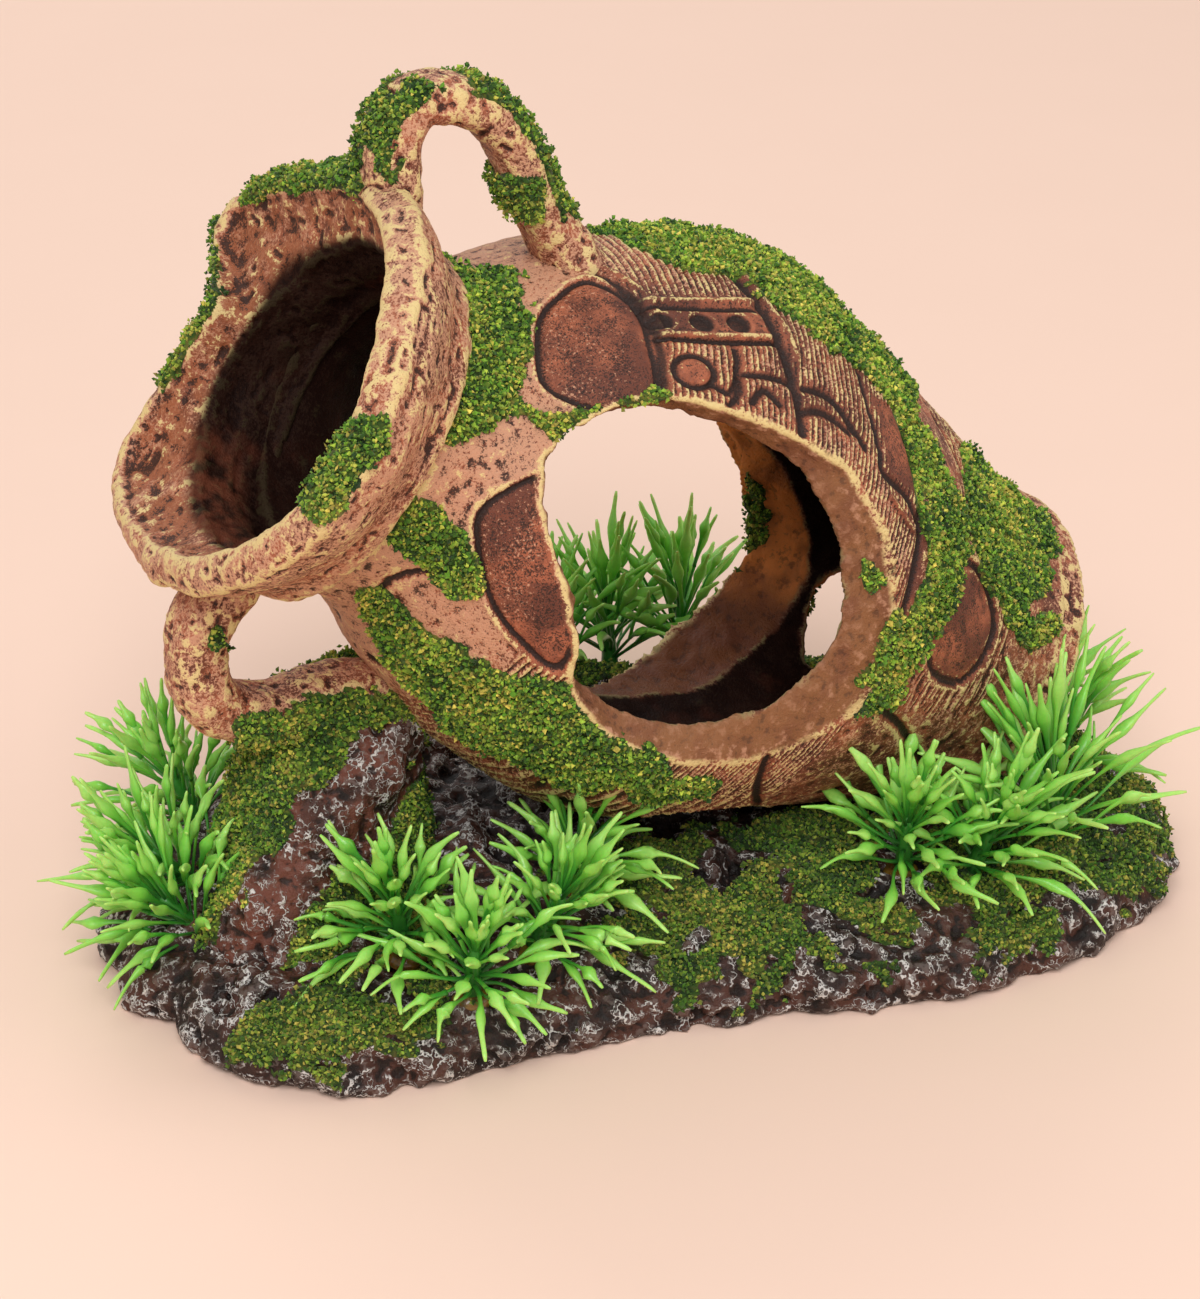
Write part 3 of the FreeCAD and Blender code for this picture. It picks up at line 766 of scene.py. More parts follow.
collarSet = {
    "dip": 3.5, "swing": -6.0,  # how far the rim leans off the jar's own direction
    "step": 0.6,
    "lip": 6.0,                 # width of the rolled edge; the rest of the front is a hollow face
    "outline": [(-180, 39.5), (-170, 40.6), (-147, 46.5), (-137, 49.3), (-129, 47.5), (-117, 39.5),
                (-96, 33.5), (-87, 33), (-83, 36), (-80.5, 43), (-77, 51), (-71, 53), (-62, 48.5),
                (-42, 41.5), (-30, 40.5), (0, 40), (33, 42), (52, 42.3), (66, 44), (82, 45.5),
                (101, 45), (116, 41.5), (139, 38), (172, 38), (180, 39.5)],
    "opening": [(-180, 27), (-153, 26.3), (-124, 27), (-107, 27.5), (-92, 26.5), (-73, 25.5), (-27, 26),
                (3, 28.4), (24, 30.5), (50, 32.5), (71, 36), (94, 37), (104, 35.5), (117, 33),
                (146, 29.4), (170, 27), (180, 27)],
    # half of the rim cut through: (depth, radius) as if it were round
    "section": [(-2.6, 35.2), (-3.4, 36.6), (-2.8, 38.8), (-1.2, 40.6), (0.6, 41.6), (3.2, 40.6),
                (6.0, 39.4), (9.4, 36.6), (13.4, 33.8), (18.5, 31.5), (18.5, 25.6), (13, 28.4),
                (8.5, 32.4), (5.6, 32.9), (3.6, 32.9), (0.8, 34)],
}


def turnedBy(v, axis, degrees):
    t = math.radians(degrees)
    return v * math.cos(t) + np.cross(axis, v) * math.sin(t) + axis * (axis @ v) * (1 - math.cos(t))


rimAlong = turnedBy(turnedBy(along, np.array((0.0, 0, 1)), collarSet["swing"]), across, collarSet["dip"])
rimAcross = unit(np.cross((0, 0, 1), rimAlong))
rimLift = np.cross(rimAlong, rimAcross)


evenFace, evenLip, evenEdge = 33, 35, 41  # where the face and the lip start and the lip ends, once made round


def collarWarp(s, y, u):
    # turn, and the radius each point would have if the rim were round
    turn = turnAround(y, u)
    radius = np.hypot(y, u)
    outer = np.interp(turn, *np.array(collarSet["outline"], float).T)
    inner = np.interp(turn, *np.array(collarSet["opening"], float).T)
    wide = outer - inner
    face = wide * (1 - np.minimum(collarSet["lip"] / wide, 0.75))
    onFace = evenFace + (evenLip - evenFace) * (radius - inner) / face
    onLip = evenLip + (evenEdge - evenLip) * (radius - inner - face) / (wide - face)
    even = np.where(radius < inner + face, onFace, onLip)
    even = np.where(radius < inner, radius - inner + evenFace, even)
    even = np.where(radius > outer, radius - outer + evenEdge, even)
    share = smooth01(-s, -17, -7)
    return turn, radius * (1 - share) + even * share


def shapeCollar():
    step = collarSet["step"]
    low = np.array((-7.0, -58.0, -58.0))
    s, y, u = gridOf(low, (21, 58, 58), step)
    turn, radius = collarWarp(s, y, u)
    section = curveThrough(collarSet["section"], 3, True)
    field = np.full(s.shape, 5.0, np.float32)
    near = (radius > 21) & (radius < 47)
    field[near] = toShape(s[near], radius[near], section)
    near = np.abs(field) < 3
    place = np.stack((s[near], y[near], u[near]), 1)
    field[near] += 0.5 * lumps(place, 15, 51) + 0.25 * rough(place, 6, 2, 52)
    local, quads = skinOf(field, low, step)
    mesh = meshOf("rimCollar", local, faceOut(local, quads))
    normals = normalsOf(mesh)
    pits = np.clip(lumps(local, 1.7, 61) - 0.4, 0, 1)
    scars = np.clip(lumps(local * (1, 0.4, 0.4), 1.8, 63) - 0.42, 0, 1)
    height = 0.17 * rough(local, 2.4, 3, 65) - 1.0 * pits - 1.3 * scars
    setPoints(mesh, local + normals * height[:, None])
    local = pointsOf(mesh)
    addLayer(mesh, "worn", wearOf(mesh, 4, 0.10))
    addLayer(mesh, "broad", wearOf(mesh, 22, 0.45))
    s2, y2, u2 = local.T
    turn2, radius2 = collarWarp(s2, y2, u2)
    face = (1 - smooth01(radius2, 34.6, 35.6)) * smooth01(s2, -4, -2) * (1 - smooth01(s2, 5, 7))
    throatWall = np.interp(s2, (6, 9.4, 13.4, 18.5), (33.6, 34.0, 31.0, 28.6))
    throat = (1 - smooth01(radius2 - throatWall, -0.4, 0.4)) * smooth01(s2, 1.6, 3.2)
    # the throat takes the near-black painted shade
    addLayer(mesh, "inside", throat)
    # a patch low in the throat near the lip, where that painted shade stays red-brown
    addLayer(mesh, "throatBrown", smooth01(np.cos(np.radians(turn2 + 165)), 0.7, 0.95) * (1 - smooth01(s2, 8, 15)))
    addLayer(mesh, "face", face)
    addLayer(mesh, "pale", 0.5 * (1 - face) + 0.2 * face)
    world = mouth + np.outer(s2, rimAlong) + np.outer(y2, rimAcross) + np.outer(u2, rimLift)
    setPoints(mesh, world)
    return mesh


collarMesh = shapeCollar()
addPiece("rimCollar", collarMesh, jarClay, ["rim_collar"])

# Foot ring and handles

footSet = {"from": 156.5, "to": 163.2, "radius": 31.5, "hollow": 26.5, "recess": 2.0}
handleSet = {
    "upper": {
        "path": [(5.5, 37), (0.2, 46), (1.8, 53.8), (10.5, 56.7), (20, 53.9), (30, 46.4), (44, 38)],
        "thick": 4.4, "wide": 6.0,
    },
    "lower": {
        "path": [(9, -35), (9, -47), (17, -56.5), (28, -55), (38, -48), (55, -42)],
        "thick": 4.9, "wide": 6.0,
    },
}


def plainLayers(mesh, pale, wornRounds=4, broadRounds=20):
    addLayer(mesh, "worn", wearOf(mesh, wornRounds, 0.10))
    addLayer(mesh, "broad", wearOf(mesh, broadRounds, 0.45))
    addLayer(mesh, "pale", np.full(len(mesh.vertices), pale))


def roughen(mesh, local, seed, depth=1.0):
    pits = np.clip(lumps(local, 1.7, seed) - 0.4, 0, 1)
    scars = np.clip(lumps(local * (1, 0.5, 1), 1.9, seed + 3) - 0.42, 0, 1)
    height = depth * (0.2 * rough(local, 2.4, 3, seed + 5) - 1.1 * pits - 1.2 * scars)
    setPoints(mesh, local + normalsOf(mesh) * height[:, None])


def shapeFoot():
    step = 0.7
    low = np.array((footSet["from"] - 2, -36.0, -36.0))
    s, y, u = gridOf(low, (footSet["to"] + 2, 36, 36), step)
    radius = np.hypot(y, u)
    disc = np.maximum(radius - footSet["radius"], np.maximum(footSet["from"] - s, s - footSet["to"]))
    cup = np.maximum(radius - footSet["hollow"], footSet["to"] - footSet["recess"] - s)
    field = blendMax(disc, -cup, 1.5)
    near = np.abs(field) < 2.5
    place = np.stack((s[near], y[near], u[near]), 1)
    field[near] += 0.5 * lumps(place, 12, 71) + 0.35 * rough(place, 4.5, 2, 72)
    local, quads = skinOf(field, low, step)
    mesh = meshOf("footRing", local, faceOut(local, quads))
    roughen(mesh, local, 75)
    plainLayers(mesh, 0.2)
    setPoints(mesh, fromJar(*pointsOf(mesh).T))
    return mesh


def shapeHandle(name, settings, seed):
    step = 0.55
    path = curveThrough(settings["path"], 8)
    low = np.array((path[:, 0].min() - 12, -14.0, path[:, 1].min() - 12))
    high = (path[:, 0].max() + 12, 14, path[:, 1].max() + 12)
    s, y, u = gridOf(low, high, step)
    gap = toLine(s, u, path)
    start, end = path[0], path[-1]
    spread = 1 + 0.45 * np.exp(-(np.hypot(s - end[0], u - end[1]) / 9) ** 2)
    spread += 0.1 * np.exp(-(np.hypot(s - start[0], u - start[1]) / 8) ** 2)
    thick, wide = settings["thick"] * spread, settings["wide"] * spread
    shape = ((gap / thick) ** 2.6 + (np.abs(y) / wide) ** 2.6) ** (1 / 2.6)
    field = (shape - 1) * settings["thick"]
    near = np.abs(field) < 3
    place = np.stack((s[near], y[near], u[near]), 1)
    field[near] += 0.6 * lumps(place, 14, seed) + 0.3 * rough(place, 5, 2, seed + 1)
    # both ends stop inside the wall they join
    form = squeeze * (np.hypot(y, u) - jarRadius(s))
    field = np.maximum(field, -(form + 2.5))
    local, quads = skinOf(field, low, step)
    mesh = meshOf(name, local, faceOut(local, quads))
    roughen(mesh, local, seed + 10)
    plainLayers(mesh, 0.3)
    setPoints(mesh, fromJar(*pointsOf(mesh).T))
    return mesh


footMesh = shapeFoot()
addPiece("footRing", footMesh, jarClay, ["foot_ring"])
upperMesh = shapeHandle("upperHandle", handleSet["upper"], 81)
addPiece("upperHandle", upperMesh, jarClay, ["upper_handle"])
lowerMesh = shapeHandle("lowerHandle", handleSet["lower"], 101)
addPiece("lowerHandle", lowerMesh, jarClay, ["lower_handle"])

# The rock: plinth and outcrop

rockSet = {
    "outline": [(-103, 4), (-99, -20), (-92, -38), (-76, -50), (-45, -54), (-12, -61), (20, -73),
                (52, -75), (80, -67), (92, -50), (95, -22), (85, 14), (58, 44), (22, 56), (-22, 58),
                (-62, 50), (-90, 32)],
    # way in from the edge, and height there
    "rise": [(-2, 2), (0, 5), (1.5, 8), (5, 11.5), (14, 16), (34, 19.5), (60, 20.5)],
    "plinthStep": 0.85,
    "levels": [
        (4, [(-88, -22), (-70, -29), (-44, -18), (-40, 9), (-60, 24), (-82, 15)]),
        (26, [(-82, -14), (-70, -20), (-48, -12), (-43, 8), (-58, 18), (-77, 12)]),
        (44, [(-76, -11), (-66, -14), (-48, -9), (-43, 6), (-56, 13), (-71, 10)]),
        (58, [(-64, -8), (-58, -10), (-46, -7), (-42, 3), (-51, 9), (-61, 7)]),
    ],
    "slab": [((-88, -9, 5), 8), ((-80, -12, 22), 7.5), ((-69, -12, 34), 6.5), ((-58, -12, 42), 5),
             ((-48, -9, 51), 3.5)],
    "outcropStep": 0.65,
}


def shapePlinth():
    step = rockSet["plinthStep"]
    low = np.array((-108.0, -80.0, -1.2 * step))
    x, y, z = gridOf(low, (101, 64, 26), step)
    outline = curveThrough(rockSet["outline"], 4, True)
    edge = toShape(x[:, :, 0].ravel(), y[:, :, 0].ravel(), outline).reshape(x.shape[:2])
    ground = np.stack((x[:, :, 0].ravel(), y[:, :, 0].ravel(), 0 * x[:, :, 0].ravel()), 1)
    rise = np.interp(-edge, *np.array(rockSet["rise"], float).T)
    rise += (1.3 * rough(ground, 20, 2, 121)).reshape(edge.shape) * smooth01(-edge, 0, 12)
    field = np.maximum(edge[:, :, None] + 0 * z, 0.8 * (z - rise[:, :, None]))
    near = np.abs(field) < 6
    place = np.stack((x[near], y[near], z[near]), 1)
    crags = rough(place * (1, 1, 1.3), 13, 3, 131, True)
    body = field[near] + 2.0 - 2.0 * crags + 1.2 * rough(place, 5.2, 3, 141)
    field[near] = blendMax(body, -(jarForm(place) + 1.2), 0.8)
    far = ~near & (field < 0)
    place = np.stack((x[far], y[far], z[far]), 1)
    field[far] = np.maximum(field[far], -(jarForm(place) + 1.2))
    field = np.maximum(field, -z)
    points, quads = skinOf(field, low, step)
    mesh = meshOf("rockPlinth", points, faceOut(points, quads))
    normals = normalsOf(mesh)
    height = 0.65 * rough(points, 3.4, 3, 151, True) * smooth01(points[:, 2], 0.3, 2)
    setPoints(mesh, points + normals * height[:, None])
    points = pointsOf(mesh)
    points[:, 2] = np.maximum(points[:, 2], 0)
    setPoints(mesh, points)
    addLayer(mesh, "worn", wearOf(mesh, 3, 0.16))
    addLayer(mesh, "broad", wearOf(mesh, 14, 0.7))
    addLayer(mesh, "warm", np.zeros(len(points)))
    return mesh


def shapeOutcrop():
    step = rockSet["outcropStep"]
    low = np.array((-94.0, -35.0, 3.0))
    x, y, z = gridOf(low, (-34, 30, 63), step)
    flatX, flatY = x[:, :, 0].ravel(), y[:, :, 0].ravel()
    maps = [toShape(flatX, flatY, curveThrough(loop, 3, True)).reshape(x.shape[:2])
            for _, loop in rockSet["levels"]]
    heights = [height for height, _ in rockSet["levels"]]
    field = np.empty(x.shape)
    for k, height in enumerate(z[0, 0]):
        i = int(np.clip(np.searchsorted(heights, height) - 1, 0, len(maps) - 2))
        t = np.clip((height - heights[i]) / (heights[i + 1] - heights[i]), 0, 1)
        field[:, :, k] = maps[i] * (1 - t) + maps[i + 1] * t
    field = blendMax(field, z - 54, 5)
    # a bare slab leans against it, rising to the tip
    whole = np.stack((x.ravel(), y.ravel(), z.ravel()), 1)
    slab = np.full(x.size, 99.0)
    for (a, wideA), (b, wideB) in zip(rockSet["slab"], rockSet["slab"][1:]):
        run = np.subtract(b, a)
        t = np.clip((whole - a) @ run / (run @ run), 0, 1)
        reach = np.linalg.norm(whole - a - t[:, None] * run, axis=1)
        slab = np.minimum(slab, reach - wideA * (1 - t) - wideB * t)
    field = blendMin(field, slab.reshape(x.shape), 2.0)
    near = np.abs(field) < 7
    place = np.stack((x[near], y[near], z[near]), 1)
    crags = rough(place * (1, 1, 0.6), 15, 3, 161, True)
    field[near] = field[near] + 1.2 - 1.4 * crags + 0.5 * rough(place, 3.2, 2, 171)
    field = np.maximum(np.maximum(field, 5 - z), -(jarForm(whole).reshape(x.shape) + 1.2))
    points, quads = skinOf(field, low, step)
    mesh = meshOf("rockOutcrop", points, faceOut(points, quads))
    height = 0.35 * rough(points, 2.6, 3, 181, True)
    setPoints(mesh, points + normalsOf(mesh) * height[:, None])
    addLayer(mesh, "worn", wearOf(mesh, 3, 0.14))
    addLayer(mesh, "broad", wearOf(mesh, 16, 0.7))
    addLayer(mesh, "warm", np.ones(len(points)))
    addLayer(mesh, "tip", smooth01(points[:, 2], 40, 47))
    return mesh


stone = {"dark": (40, 23, 18), "brown": (82, 47, 36), "warm": (110, 62, 48), "vein": (224, 220, 216),
         "grey": (134, 120, 114), "wash": (16, 10, 8)}


def stonePaint():
    p = Paint("rockStone")
    worn, broad = p.layer("worn"), p.layer("broad")
    base = p.mix(p.span(p.grain(9, 4), 0.4, 0.62), colour(*stone["dark"]), colour(*stone["brown"]))
    base = p.mix(p.sum("MULTIPLY", p.layer("warm"), p.span(p.grain(7, 3), 0.36, 0.6)), base,
                 colour(*stone["warm"]))
    low = p.sum("ADD", p.sum("MULTIPLY", worn, -0.5), p.sum("MULTIPLY", broad, -0.7))
    base = p.mix(p.span(low, 0.05, 0.7, 0, 0.85), base, colour(*stone["wash"]))
    # white veins: level lines of slow noise, thin and broken, mostly on raised ground
    line = p.sum("ABSOLUTE", p.sum("SUBTRACT", p.grain(5.2, 3.5, 0.6), 0.5), 0.0)
    fine = p.sum("ABSOLUTE", p.sum("SUBTRACT", p.grain(2.6, 3, 0.6), 0.5), 0.0)
    net = p.sum("MAXIMUM", p.span(line, 0.022, 0.006), p.sum("MULTIPLY", p.span(fine, 0.026, 0.006), 0.85))
    patch = p.blend((p.grain(8, 3), 3.4, 0.5), (broad, 0.5, 0), (worn, 0.4, 0), (p.grain(1.2, 2), 1.8, 0.5),
                    (p.layer("warm"), 0.1, 0), (p.layer("tip"), 1.2, 0))
    net = p.sum("MULTIPLY", net, p.span(patch, -0.15, 0.5), True)
    brushed = p.blend((worn, 1.0, 0), (p.grain(1.1, 3), 2.6, 0.5), (p.layer("tip"), 0.5, 0))
    out = p.mix(p.span(brushed, 0.6, 1.2, 0, 0.4), base, colour(*stone["grey"]))
    out = p.mix(p.sum("MULTIPLY", net, 0.92), out, colour(*stone["vein"]))
    p.bump(p.sum("ADD", p.grain(0.9, 4, 0.6), p.sum("MULTIPLY", net, 0.6)), 0.6, 0.9)
    return p.finish(out, Roughness=p.span(p.grain(2, 2), 0.3, 0.7, 0.42, 0.7), Specular_IOR_Level=0.4)


rockStone = stonePaint()
plinthMesh = shapePlinth()
addPiece("rockPlinth", plinthMesh, rockStone, ["rock_plinth"])
outcropMesh = shapeOutcrop()
addPiece("rockOutcrop", outcropMesh, rockStone, ["rock_outcrop"])

# Moss: a thin mat, and thousands of crumbs glued on it

mossSet = {
    "crumb": 0.29, "perMm2": 7.0, "mat": 0.3, "fluff": 1.8,  # sizes in mm; fluff is how high crumbs pile up
    "dark": (32, 66, 14), "mid": (92, 140, 34), "fresh": (156, 182, 58), "yellow": (208, 190, 84),
    # the mat's brightness is painted shade in the gaps between the crumbs
    "matPaintedShade": 0.3, "litOnJar": 1.15, "shadedOnPlinth": 0.8,   # brightness of the mat, and of all of it by place
    # by place: moss on the jar is brightened as painted light, moss on the plinth darkened as painted shade
    "patchy": 0.28, "speckled": 0.30,                  # how much the tone changes by patch and by crumb
}


def flockPaint():
    p = Paint("mossFlock")
    shade = p.mix(p.span(p.grain(0.7, 2), 0.3, 0.7, 0, 0.4), p.tint("tint"), colour(*mossSet["dark"]))
    p.bump(p.grain(0.35, 2), 0.2, 0.6)
    return p.finish(shade, Roughness=0.8, Specular_IOR_Level=0.3, Sheen_Weight=0.15)


mossFlock = flockPaint()


def mossTints(places, rng):
    # one colour for each place: patches of dark, fresh and yellow, and some scatter
    shades = np.array([colour(*mossSet[k])[:3] for k in ("dark", "mid", "fresh", "yellow")])
    tone = 0.45 + mossSet["patchy"] * rough(places, 7, 2, 201)
    tone = tone + mossSet["speckled"] * rng.standard_normal(len(places))
    at = np.clip(tone, 0, 1) * 3
    low = np.minimum(at.astype(int), 2)
    part = (at - low)[:, None]
    return (shades[low] * (1 - part) + shades[low + 1] * part) * rng.uniform(0.5, 1.45, (len(places), 1))


def growMoss(name, node, hosts, seed, bright=1.0):
    # hosts: (mesh, weight of each vertex from 0 to 1)
    rng = np.random.default_rng(seed)
    allPoints, allFaces, allTints, count = [], [], [], 0
    for mesh, weight in hosts:
        points, normals, triangles = pointsOf(mesh), normalsOf(mesh), trianglesOf(mesh)
        share = weight[triangles].mean(1)
        triangles, share = triangles[share > 0.3], share[share > 0.3]
        if not len(triangles):
            continue
        # the mat: these faces lifted a little, and closed underneath
        used, place = np.unique(triangles, return_inverse=True)
        sheet = place.reshape(-1, 3)
        up = normals[used]
        thick = mossSet["mat"] * smooth01(weight[used], 0.25, 0.8)[:, None]
        top, under = points[used] + up * (thick + 0.05), points[used] - up * 0.25
        sides = np.concatenate((sheet[:, (0, 1)], sheet[:, (1, 2)], sheet[:, (2, 0)]))
        key = np.sort(sides, 1) @ (len(used), 1)
        _, first, times = np.unique(key, return_index=True, return_counts=True)
        rim = sides[first[times == 1]]
        n = len(used)
        wall = np.concatenate((np.stack((rim[:, 1], rim[:, 0], rim[:, 0] + n), 1),
                               np.stack((rim[:, 1], rim[:, 0] + n, rim[:, 1] + n), 1)))
        allPoints.append(np.concatenate((top, under)))
        allFaces.append(np.concatenate((sheet, sheet[:, ::-1] + n, wall)) + count)
        # the mat is darkened as painted shade in the gaps between the crumbs
        allTints.append(np.tile(mossTints(points[used], rng) * mossSet["matPaintedShade"] * bright, (2, 1)))
        count += 2 * n
        # the crumbs: spiky eight-sided bits, turned every way
        a, b, c = (points[triangles[:, k]] for k in range(3))
        area = np.linalg.norm(np.cross(b - a, c - a), axis=1) / 2 * share
        total = int(area.sum() * mossSet["perMm2"])
        pick = rng.choice(len(triangles), total, p=area / area.sum())
        r1, r2 = np.sqrt(rng.random((total, 1))), rng.random((total, 1))
        spot = a[pick] * (1 - r1) + b[pick] * r1 * (1 - r2) + c[pick] * r1 * r2
        out = normals[triangles[pick, 0]]
        pile = 0.35 + 0.65 * smooth01(lumps(spot, 2.2, seed + 7), -0.5, 0.5)
        rise = rng.random(total) ** 1.5 * pile * (0.3 + 0.7 * share[pick])
        spot = spot + out * (0.15 + mossSet["fluff"] * rise)[:, None]
        size = mossSet["crumb"] * rng.uniform(0.5, 1.5, (total, 1, 1))
        spin = np.linalg.qr(rng.standard_normal((total, 3, 3)))[0]
        spikes = np.concatenate((np.eye(3), -np.eye(3)))[None] * rng.uniform(0.3, 2.0, (total, 6, 1))
        bits = spot[:, None] + size * (spikes @ spin)
        eight = np.array([(0, 1, 2), (1, 3, 2), (3, 4, 2), (4, 0, 2), (1, 0, 5), (3, 1, 5), (4, 3, 5),
                          (0, 4, 5)])
        flip = np.linalg.det(spin) < 0
        faces = np.where(flip[:, None, None], eight[None, :, ::-1], eight[None])
        faces = faces + 6 * np.arange(total)[:, None, None]
        allPoints.append(bits.reshape(-1, 3))
        allFaces.append(faces.reshape(-1, 3) + count)
        allTints.append(np.repeat(mossTints(spot, rng) * bright, 6, 0))
        count += 6 * total
    mesh = meshOf(name, np.concatenate(allPoints), np.concatenate(allFaces))
    addTint(mesh, "tint", np.concatenate(allTints))
    addPiece(name, mesh, mossFlock, [node], False)


def raggedWeight(distance, points, seed, ragged=2.6):
    # full inside a patch, falling off at a ragged edge
    edge = distance + ragged * rough(points, 6, 3, seed)
    edge = edge + 0.8 * lumps(points, 1.6, seed + 3)
    return smooth01(-edge, -0.9, 1.2)


jarMoss = {  # on the jar's outer face, as (along, turn) loops
    "mossShoulder": ("moss_shoulder", [(13, 4), (22, 2), (32, 4), (31, 26), (30, 42), (32, 58),
                                       (40, 57), (48, 50), (50, 54), (40, 62), (30, 64), (22, 73),
                                       (15, 73), (12, 60)]),
    "mossNeckSide": ("moss_neck_side", [(14, 99), (24, 98), (33, 105), (37, 116), (32, 121), (22, 116),
                                        (12, 110)]),
    "mossBelly": ("moss_belly", [(24, 138), (36, 133), (48, 122), (60, 119), (72, 120), (78, 130),
                                 (72, 142), (60, 150), (46, 158), (30, 156)]),
    "mossBack": ("moss_back", [(50, -10), (54, 8), (60, 14), (67, 16), (76, 27), (90, 33), (104, 34),
                               (110, 20), (104, -6), (92, -24), (70, -22)]),
    "mossFlank": ("moss_flank", [(106, 32), (112, 38), (121, 48), (123, 66), (120, 84), (116, 100),
                                 (106, 104), (104, 96), (109, 86), (110, 66), (106, 50), (98, 36)]),
    "mossAnkle": ("moss_ankle", [(124, 34), (134, 14), (152, 12), (158, 22), (154, 40), (148, 56),
                                 (138, 62), (130, 58)]),
}


edgeMoss = {  # strips that may run over a broken edge: points as (along, turn), half width
    "mossBelly": [([(76, 127), (82, 133), (89, 128)], 4.0), ([(146, -97), (145, -112), (147, -127)], 3.0)],
    "mossBack": [([(126, -72), (131.5, -88), (133, -104)], 1.6)],
    "mossFlank": [([(108, 80), (108, 92)], 2.0), ([(93, 70), (97, 73)], 2.0)],
    "mossAnkle": [([(141, 62), (148, 68), (153, 62)], 3.5)],
}


def growJarMoss():
    points = pointsOf(jarMesh)
    s, y, u = toJar(points)
    turn = turnAround(y, u)
    skin = np.hypot(y, u) > jarRadius(s) - 2.2
    clear = smooth01(toWindow(s, y, u), 0.0, 1.0)
    arc = np.radians(turn) * unrolled
    for k, (name, (node, loop)) in enumerate(jarMoss.items()):
        gap = toShape(s, arc, curveThrough(laidFlat(loop), 4, True))
        weight = raggedWeight(gap, points, 211 + k) * skin * clear
        for line, wide in edgeMoss.get(name, ()):
            gap = toLine(s, arc, curveThrough(laidFlat(line), 4)) - wide
            strip = raggedWeight(gap, points, 218 + k, 1.5) * (np.hypot(y, u) > jarRadius(s) - 3)
            weight = np.maximum(weight, strip)
        # moss on the jar is brightened as painted light
        growMoss(name, node, [(jarMesh, weight)], 221 + k, mossSet["litOnJar"])


def growCollarMoss():
    points = pointsOf(collarMesh)
    rel = points - mouth
    s, y, u = rel @ rimAlong, rel @ rimAcross, rel @ rimLift
    turn, radius = collarWarp(s, y, u)
    outer = smooth01(radius, 34.5, 37)
    top = np.maximum(np.abs(turn + 36) - 31, -9) * 0.7 + np.maximum(s - 14, 0)
    thin = np.abs(turn + 96) * 0.7 - 22 + np.maximum(6 - s, 0)
    weight = np.maximum(raggedWeight(top, points, 231) * outer, raggedWeight(thin, points, 233) * outer)
    growMoss("mossRimTop", "moss_rim_top", [(collarMesh, weight)], 235)
    side = np.maximum(np.abs(turn - 88) * 0.75 - 8.5, s - 0.6)
    weight = raggedWeight(side, points, 237) * smooth01(radius, 33, 35.5)
    growMoss("mossRimSide", "moss_rim_side", [(collarMesh, weight)], 239)


def growHandleMoss():
    points = pointsOf(upperMesh)
    s, y, u = toJar(points)
    normals = normalsOf(upperMesh)
    away = unit2(s - 20, u - 42)
    outside = smooth01((normals @ along) * away[0] + (normals @ lift) * away[1], 0.3, 0.65)
    front = np.hypot((s - 1) / 1.2, u - 48) - 8
    weight = raggedWeight(front, points, 241) * outside
    growMoss("mossHandleFront", "moss_handle_front", [(upperMesh, weight)], 243)
    top = toLine(s, u, [(14, 61), (25, 55), (33, 48)]) - 7
    low = np.hypot(s - 25, u - 46) - 5
    weight = np.maximum(raggedWeight(top, points, 245) * outside, raggedWeight(low, points, 247, 1.5))
    growMoss("mossHandleTop", "moss_handle_top", [(upperMesh, weight)], 249)


groundMoss = {  # ovals on the plinth: centre, half length and half width, turn
    "mossPlinthLeft": ("moss_plinth_left", [(-80, -38, 18, 9, 0), (-62, -22, 9, 10, 0)]),
    "mossPlinthMiddle": ("moss_plinth_middle", [(-4, -50, 26, 13, -8), (18, -46, 20, 17, 0),
                                                (-12, -34, 12, 9, 0)]),
    "mossPlinthRight": ("moss_plinth_right", [(52, -54, 36, 20, 8), (80, -34, 17, 24, 0),
                                              (76, -6, 16, 18, 0)]),
    "mossPlinthRear": ("moss_plinth_rear", [(-30, 42, 24, 11, 0), (20, 34, 22, 12, 0),
                                            (62, 22, 18, 14, 0)]),
}


def growGroundMoss():
    points = pointsOf(plinthMesh)
    x, y, z = points.T
    up = smooth01(normalsOf(plinthMesh)[:, 2], 0.05, 0.45)
    for k, (name, (node, ovals)) in enumerate(groundMoss.items()):
        gap = np.full(len(x), 50.0)
        for cx, cy, a, b, turned in ovals:
            t = math.radians(turned)
            px = (x - cx) * math.cos(t) + (y - cy) * math.sin(t)
            py = (y - cy) * math.cos(t) - (x - cx) * math.sin(t)
            gap = np.minimum(gap, (np.hypot(px / a, py / b) - 1) * min(a, b))
        bare = smooth01(rough(points, 12, 3, 291), -0.62, -0.3)
        weight = raggedWeight(gap - 1.5, points, 251 + k, 6.5) * up * bare * (z > 3)
        # moss on the plinth is darkened as painted shade
        growMoss(name, node, [(plinthMesh, weight)], 261 + k, mossSet["shadedOnPlinth"])
    points = pointsOf(outcropMesh)
    x, y, z = points.T
    lower = pointsOf(lowerMesh)
    behind = (points - rockSet["slab"][0][0]) @ (-0.54, 0.64, 0.545)  # how far behind the slab's line
    top = np.maximum(7.5 - behind, 14 - z)
    side = np.maximum(behind + 5.5, 10 - z)
    under = smooth01(-(normalsOf(lowerMesh) @ lift), -0.55, -0.1)
    onHandle = smooth01(lower[:, 0], -86, -78) * smooth01(-lower[:, 2], -66, -60) * under
    growMoss("mossOutcropTop", "moss_outcrop_top",
             [(outcropMesh, raggedWeight(top, points, 271)),
              (lowerMesh, smooth01(onHandle + 0.5 * rough(lower, 6, 2, 272), 0.35, 0.6))], 273)
    growMoss("mossOutcropSide", "moss_outcrop_side",
             [(outcropMesh, raggedWeight(side, points, 275, 4.5))], 277)


growJarMoss()
growCollarMoss()
growHandleMoss()
growGroundMoss()

# Plastic grass and its glue

